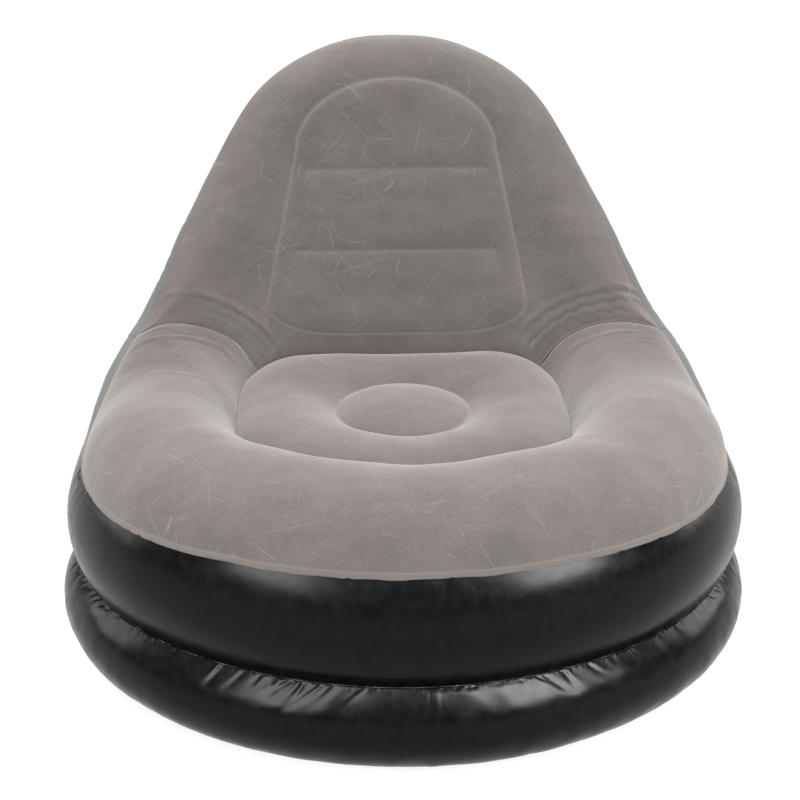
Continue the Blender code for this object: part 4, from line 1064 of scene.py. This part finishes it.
def black_vinyl():
    """Calendered PVC film: near black, half gloss, a little uneven, with the ribbed mark of the welding bar
    beside its seams."""
    finish = new_finish("black_vinyl", "black_vinyl")
    place = add(finish, "TexCoord").outputs["Object"]
    film = add(finish, "UVMap", {"uv_map": "film"})
    uneven = add(finish, "TexNoise", Vector=place, Scale=per_metre(16.67), Detail=3.0, Roughness=0.6)
    # The rollers' grain is about 0.2 mm, too fine to show, so it is drawn 1.1 mm wide
    grain = add(finish, "TexNoise", Vector=place, Scale=per_metre(1.111), Detail=1.0)
    tone = add(finish, "ValToRGB", stops=((0.3, "#0A0A0B"), (0.7, "#0F0F10")), Fac=uneven)
    rough = add(finish, "MapRange", Value=uneven, From_Min=0.3, From_Max=0.7, To_Min=0.22, To_Max=0.32)
    # Ribs stand 8 mm apart, and a wave at a scale of one makes 20 / FULL_TURN of them in each metre
    ribs = add(finish, "TexWave", {"bands_direction": "X"}, Vector=film,
               Scale=FULL_TURN / 20 * per_metre(8.267), Distortion=2.5, Detail=1.0).outputs["Fac"]
    weld = add(finish, "Attribute", {"attribute_name": "weld_distance"}).outputs["Fac"]
    beside = add(finish, "ValToRGB", stops=((0.001, 1), (0.005, 0)), Fac=weld)
    height = add(finish, "Math", {"operation": "MULTIPLY"}, _0=ribs, _1=beside)
    for pattern, depth in ((grain, 0.03), (uneven, 0.2)):
        height = add(finish, "Math", {"operation": "MULTIPLY_ADD"}, _0=pattern, _1=depth, _2=height)
    bump = add(finish, "Bump", Height=height, Strength=0.35, Distance=0.0006)
    shader = add(finish, "BsdfPrincipled", Base_Color=tone, Roughness=rough, Normal=bump, IOR=1.53,
                 Specular_IOR_Level=0.08)
    add(finish, "OutputMaterial", Surface=shader)
    return finish


def clear_film():
    """Thin smoke-grey blown PVC film of the inner beams, which lets some light through."""
    finish = new_finish("clear_film", "grey_film")
    place = add(finish, "TexCoord").outputs["Object"]
    uneven = add(finish, "TexNoise", Vector=place, Scale=per_metre(22.22), Detail=3.0)
    tone = add(finish, "ValToRGB", stops=((0.3, "#8C8F90"), (0.7, "#A2A5A6")), Fac=uneven)
    bump = add(finish, "Bump", Height=uneven, Strength=0.2, Distance=0.001)
    shader = add(finish, "BsdfPrincipled", Base_Color=tone, Normal=bump, Roughness=0.35, Alpha=0.75)
    add(finish, "OutputMaterial", Surface=shader)
    return finish


def moulded_vinyl():
    """Soft injection-moulded PVC of the valve: black, satin, with a fine moulded grain."""
    finish = new_finish("moulded_vinyl", "valve_vinyl")
    place = add(finish, "TexCoord").outputs["Object"]
    grain = add(finish, "TexNoise", Vector=place, Scale=per_metre(0.7143), Detail=2.0)
    uneven = add(finish, "TexNoise", Vector=place, Scale=per_metre(4.545), Detail=2.0)
    tone = add(finish, "ValToRGB", stops=((0.3, "#141415"), (0.7, "#1B1B1C")), Fac=uneven)
    rough = add(finish, "MapRange", Value=uneven, From_Min=0.3, From_Max=0.7, To_Min=0.40, To_Max=0.52)
    bump = add(finish, "Bump", Height=grain, Strength=0.15, Distance=0.0002)
    shader = add(finish, "BsdfPrincipled", Base_Color=tone, Roughness=rough, Normal=bump, IOR=1.5)
    add(finish, "OutputMaterial", Surface=shader)
    return finish


def studio():
    """A pale floor that is lit from itself like a light table, soft light, and the photograph's camera."""
    bpy.ops.mesh.primitive_plane_add(size=40, location=(0, 8, 0))
    floor = bpy.context.object
    floor.name = "studio_floor"
    floor.visible_diffuse = False
    paper = new_finish("floor_paper")
    shader = add(paper, "BsdfPrincipled", Base_Color="#767676", Roughness=0.9, Emission_Color="#FFFFFF",
                 Emission_Strength=0.86)
    add(paper, "OutputMaterial", Surface=shader)
    floor.data.materials.append(paper)

    # The air is white to look at, and lights the chair less than that
    air = bpy.data.worlds.new("studio_air")
    bpy.context.scene.world = air
    air.use_nodes = True
    air.node_tree.nodes.clear()
    light = add(air, "Background", Color="#FFFFFF", Strength=0.30)
    page = add(air, "Background", Color="#FFFFFF", Strength=1.0)
    shown = add(air, "MixShader", Fac=add(air, "LightPath").outputs["Is Camera Ray"], _1=light, _2=page)
    add(air, "OutputWorld", Surface=shown)

    sun = bpy.data.lights.new("overhead", "SUN")
    sun.energy = 2.55
    sun.angle = radians(80)
    lamp = bpy.data.objects.new("overhead", sun)
    lamp.rotation_euler = (radians(-14), 0, 0)
    bpy.context.scene.collection.objects.link(lamp)
    # The soft boxes only make highlights on the vinyl, and the fill only lights what is matt
    for name, place, size, power in (("box_left", (-1.35, -1.8, 1.95), (1.15, 2.4), 200),
                                     ("box_right", (1.5, -1.75, 1.95), (1.2, 2.4), 430),
                                     ("side_left", (-2.4, 0.5, 1.0), (1.2, 1.2), 30),
                                     ("side_right", (2.4, 0.5, 1.0), (1.2, 1.2), 40),
                                     ("front_fill", (0, -2.7, 2.2), (2.4, 2.4), 112)):
        light = bpy.data.lights.new(name, "AREA")
        light.shape = "RECTANGLE"
        light.size, light.size_y = size
        light.energy = power
        lamp = bpy.data.objects.new(name, light)
        lamp.location = place
        lamp.visible_diffuse = name == "front_fill"
        lamp.visible_glossy = name != "front_fill"
        lamp.rotation_euler = (Vector(LIT_PLACE) - Vector(place)).to_track_quat("-Z", "Y").to_euler()
        bpy.context.scene.collection.objects.link(lamp)

    lens = bpy.data.cameras.new("photo_camera")
    lens.sensor_width = 36
    lens.lens = 76.7
    lens.shift_x = -0.0056
    camera = bpy.data.objects.new("photo_camera", lens)
    camera.location = (-0.085, -2.3005, 1.2507)
    camera.rotation_euler = (radians(90 - 22.3), 0, radians(-2.19))
    bpy.context.scene.collection.objects.link(camera)
    bpy.context.scene.camera = camera
    bpy.context.scene.view_settings.view_transform = "Standard"


def walls(vinyl):
    for name, grid, closed in (("lower_wall", lower_wall_grid(), True), ("upper_wall", upper_wall_grid(), True),
                               ("back_wall", back_wall_grid(), False)):
        weld = run_across(grid)
        if name == "lower_wall":
            weld = np.minimum(weld, weld[:, -1:] - weld)
        piece = film_piece(name + "_film", [(grid, closed, np.clip(weld - MARGIN, 0, 1))], vinyl, name)
        if name == "back_wall":
            cut_valve_hole(piece)
    grid, weld = base_sheet_grid()
    film_piece("base_sheet_film", [(grid, True, weld)], vinyl, "base_sheet")


def flocked_sheets(flock):
    grid, to_crease = roll_grid(FLOCK_FINE)
    t = run_across(grid)
    band = grid.shape[1] - to_crease.shape[1] - 1
    weld = np.clip(t - t[:, band: band + 1], 0, 1)
    index = np.arange(-HALF_CELLS * FLOCK_FINE, HALF_CELLS * FLOCK_FINE + 1)
    weld[:, :band] = (-MARGIN - FIN_WIDTH * fin_share(ring_angles(FLOCK_FINE)[index]))[:, None]
    film_piece("arm_roll_flock", [(grid, False, weld)], flock, "arm_roll_sheet")
    grid, weld = seat_pad_grid(PAD_FINE)
    film_piece("seat_pad_flock", [(grid, True, weld)], flock, "seat_pad_sheet")
    (border, border_weld), (panel, panel_weld) = back_border_grid(FLOCK_FINE), back_panel_grid(FLOCK_FINE)
    film_piece("back_flock", [(border, True, border_weld), (panel, False, panel_weld)], flock, "back_sheet")


vinyl, flock, clear, moulded = black_vinyl(), flocked_vinyl(), clear_film(), moulded_vinyl()
walls(vinyl)
flocked_sheets(flock)
for name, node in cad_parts.items():
    if name not in REPLACED_NODES:
        node.data.materials.clear()
        node.data.materials.append(moulded if name in VALVE_NODES else vinyl if name in TAPE_NODES else clear)
studio()
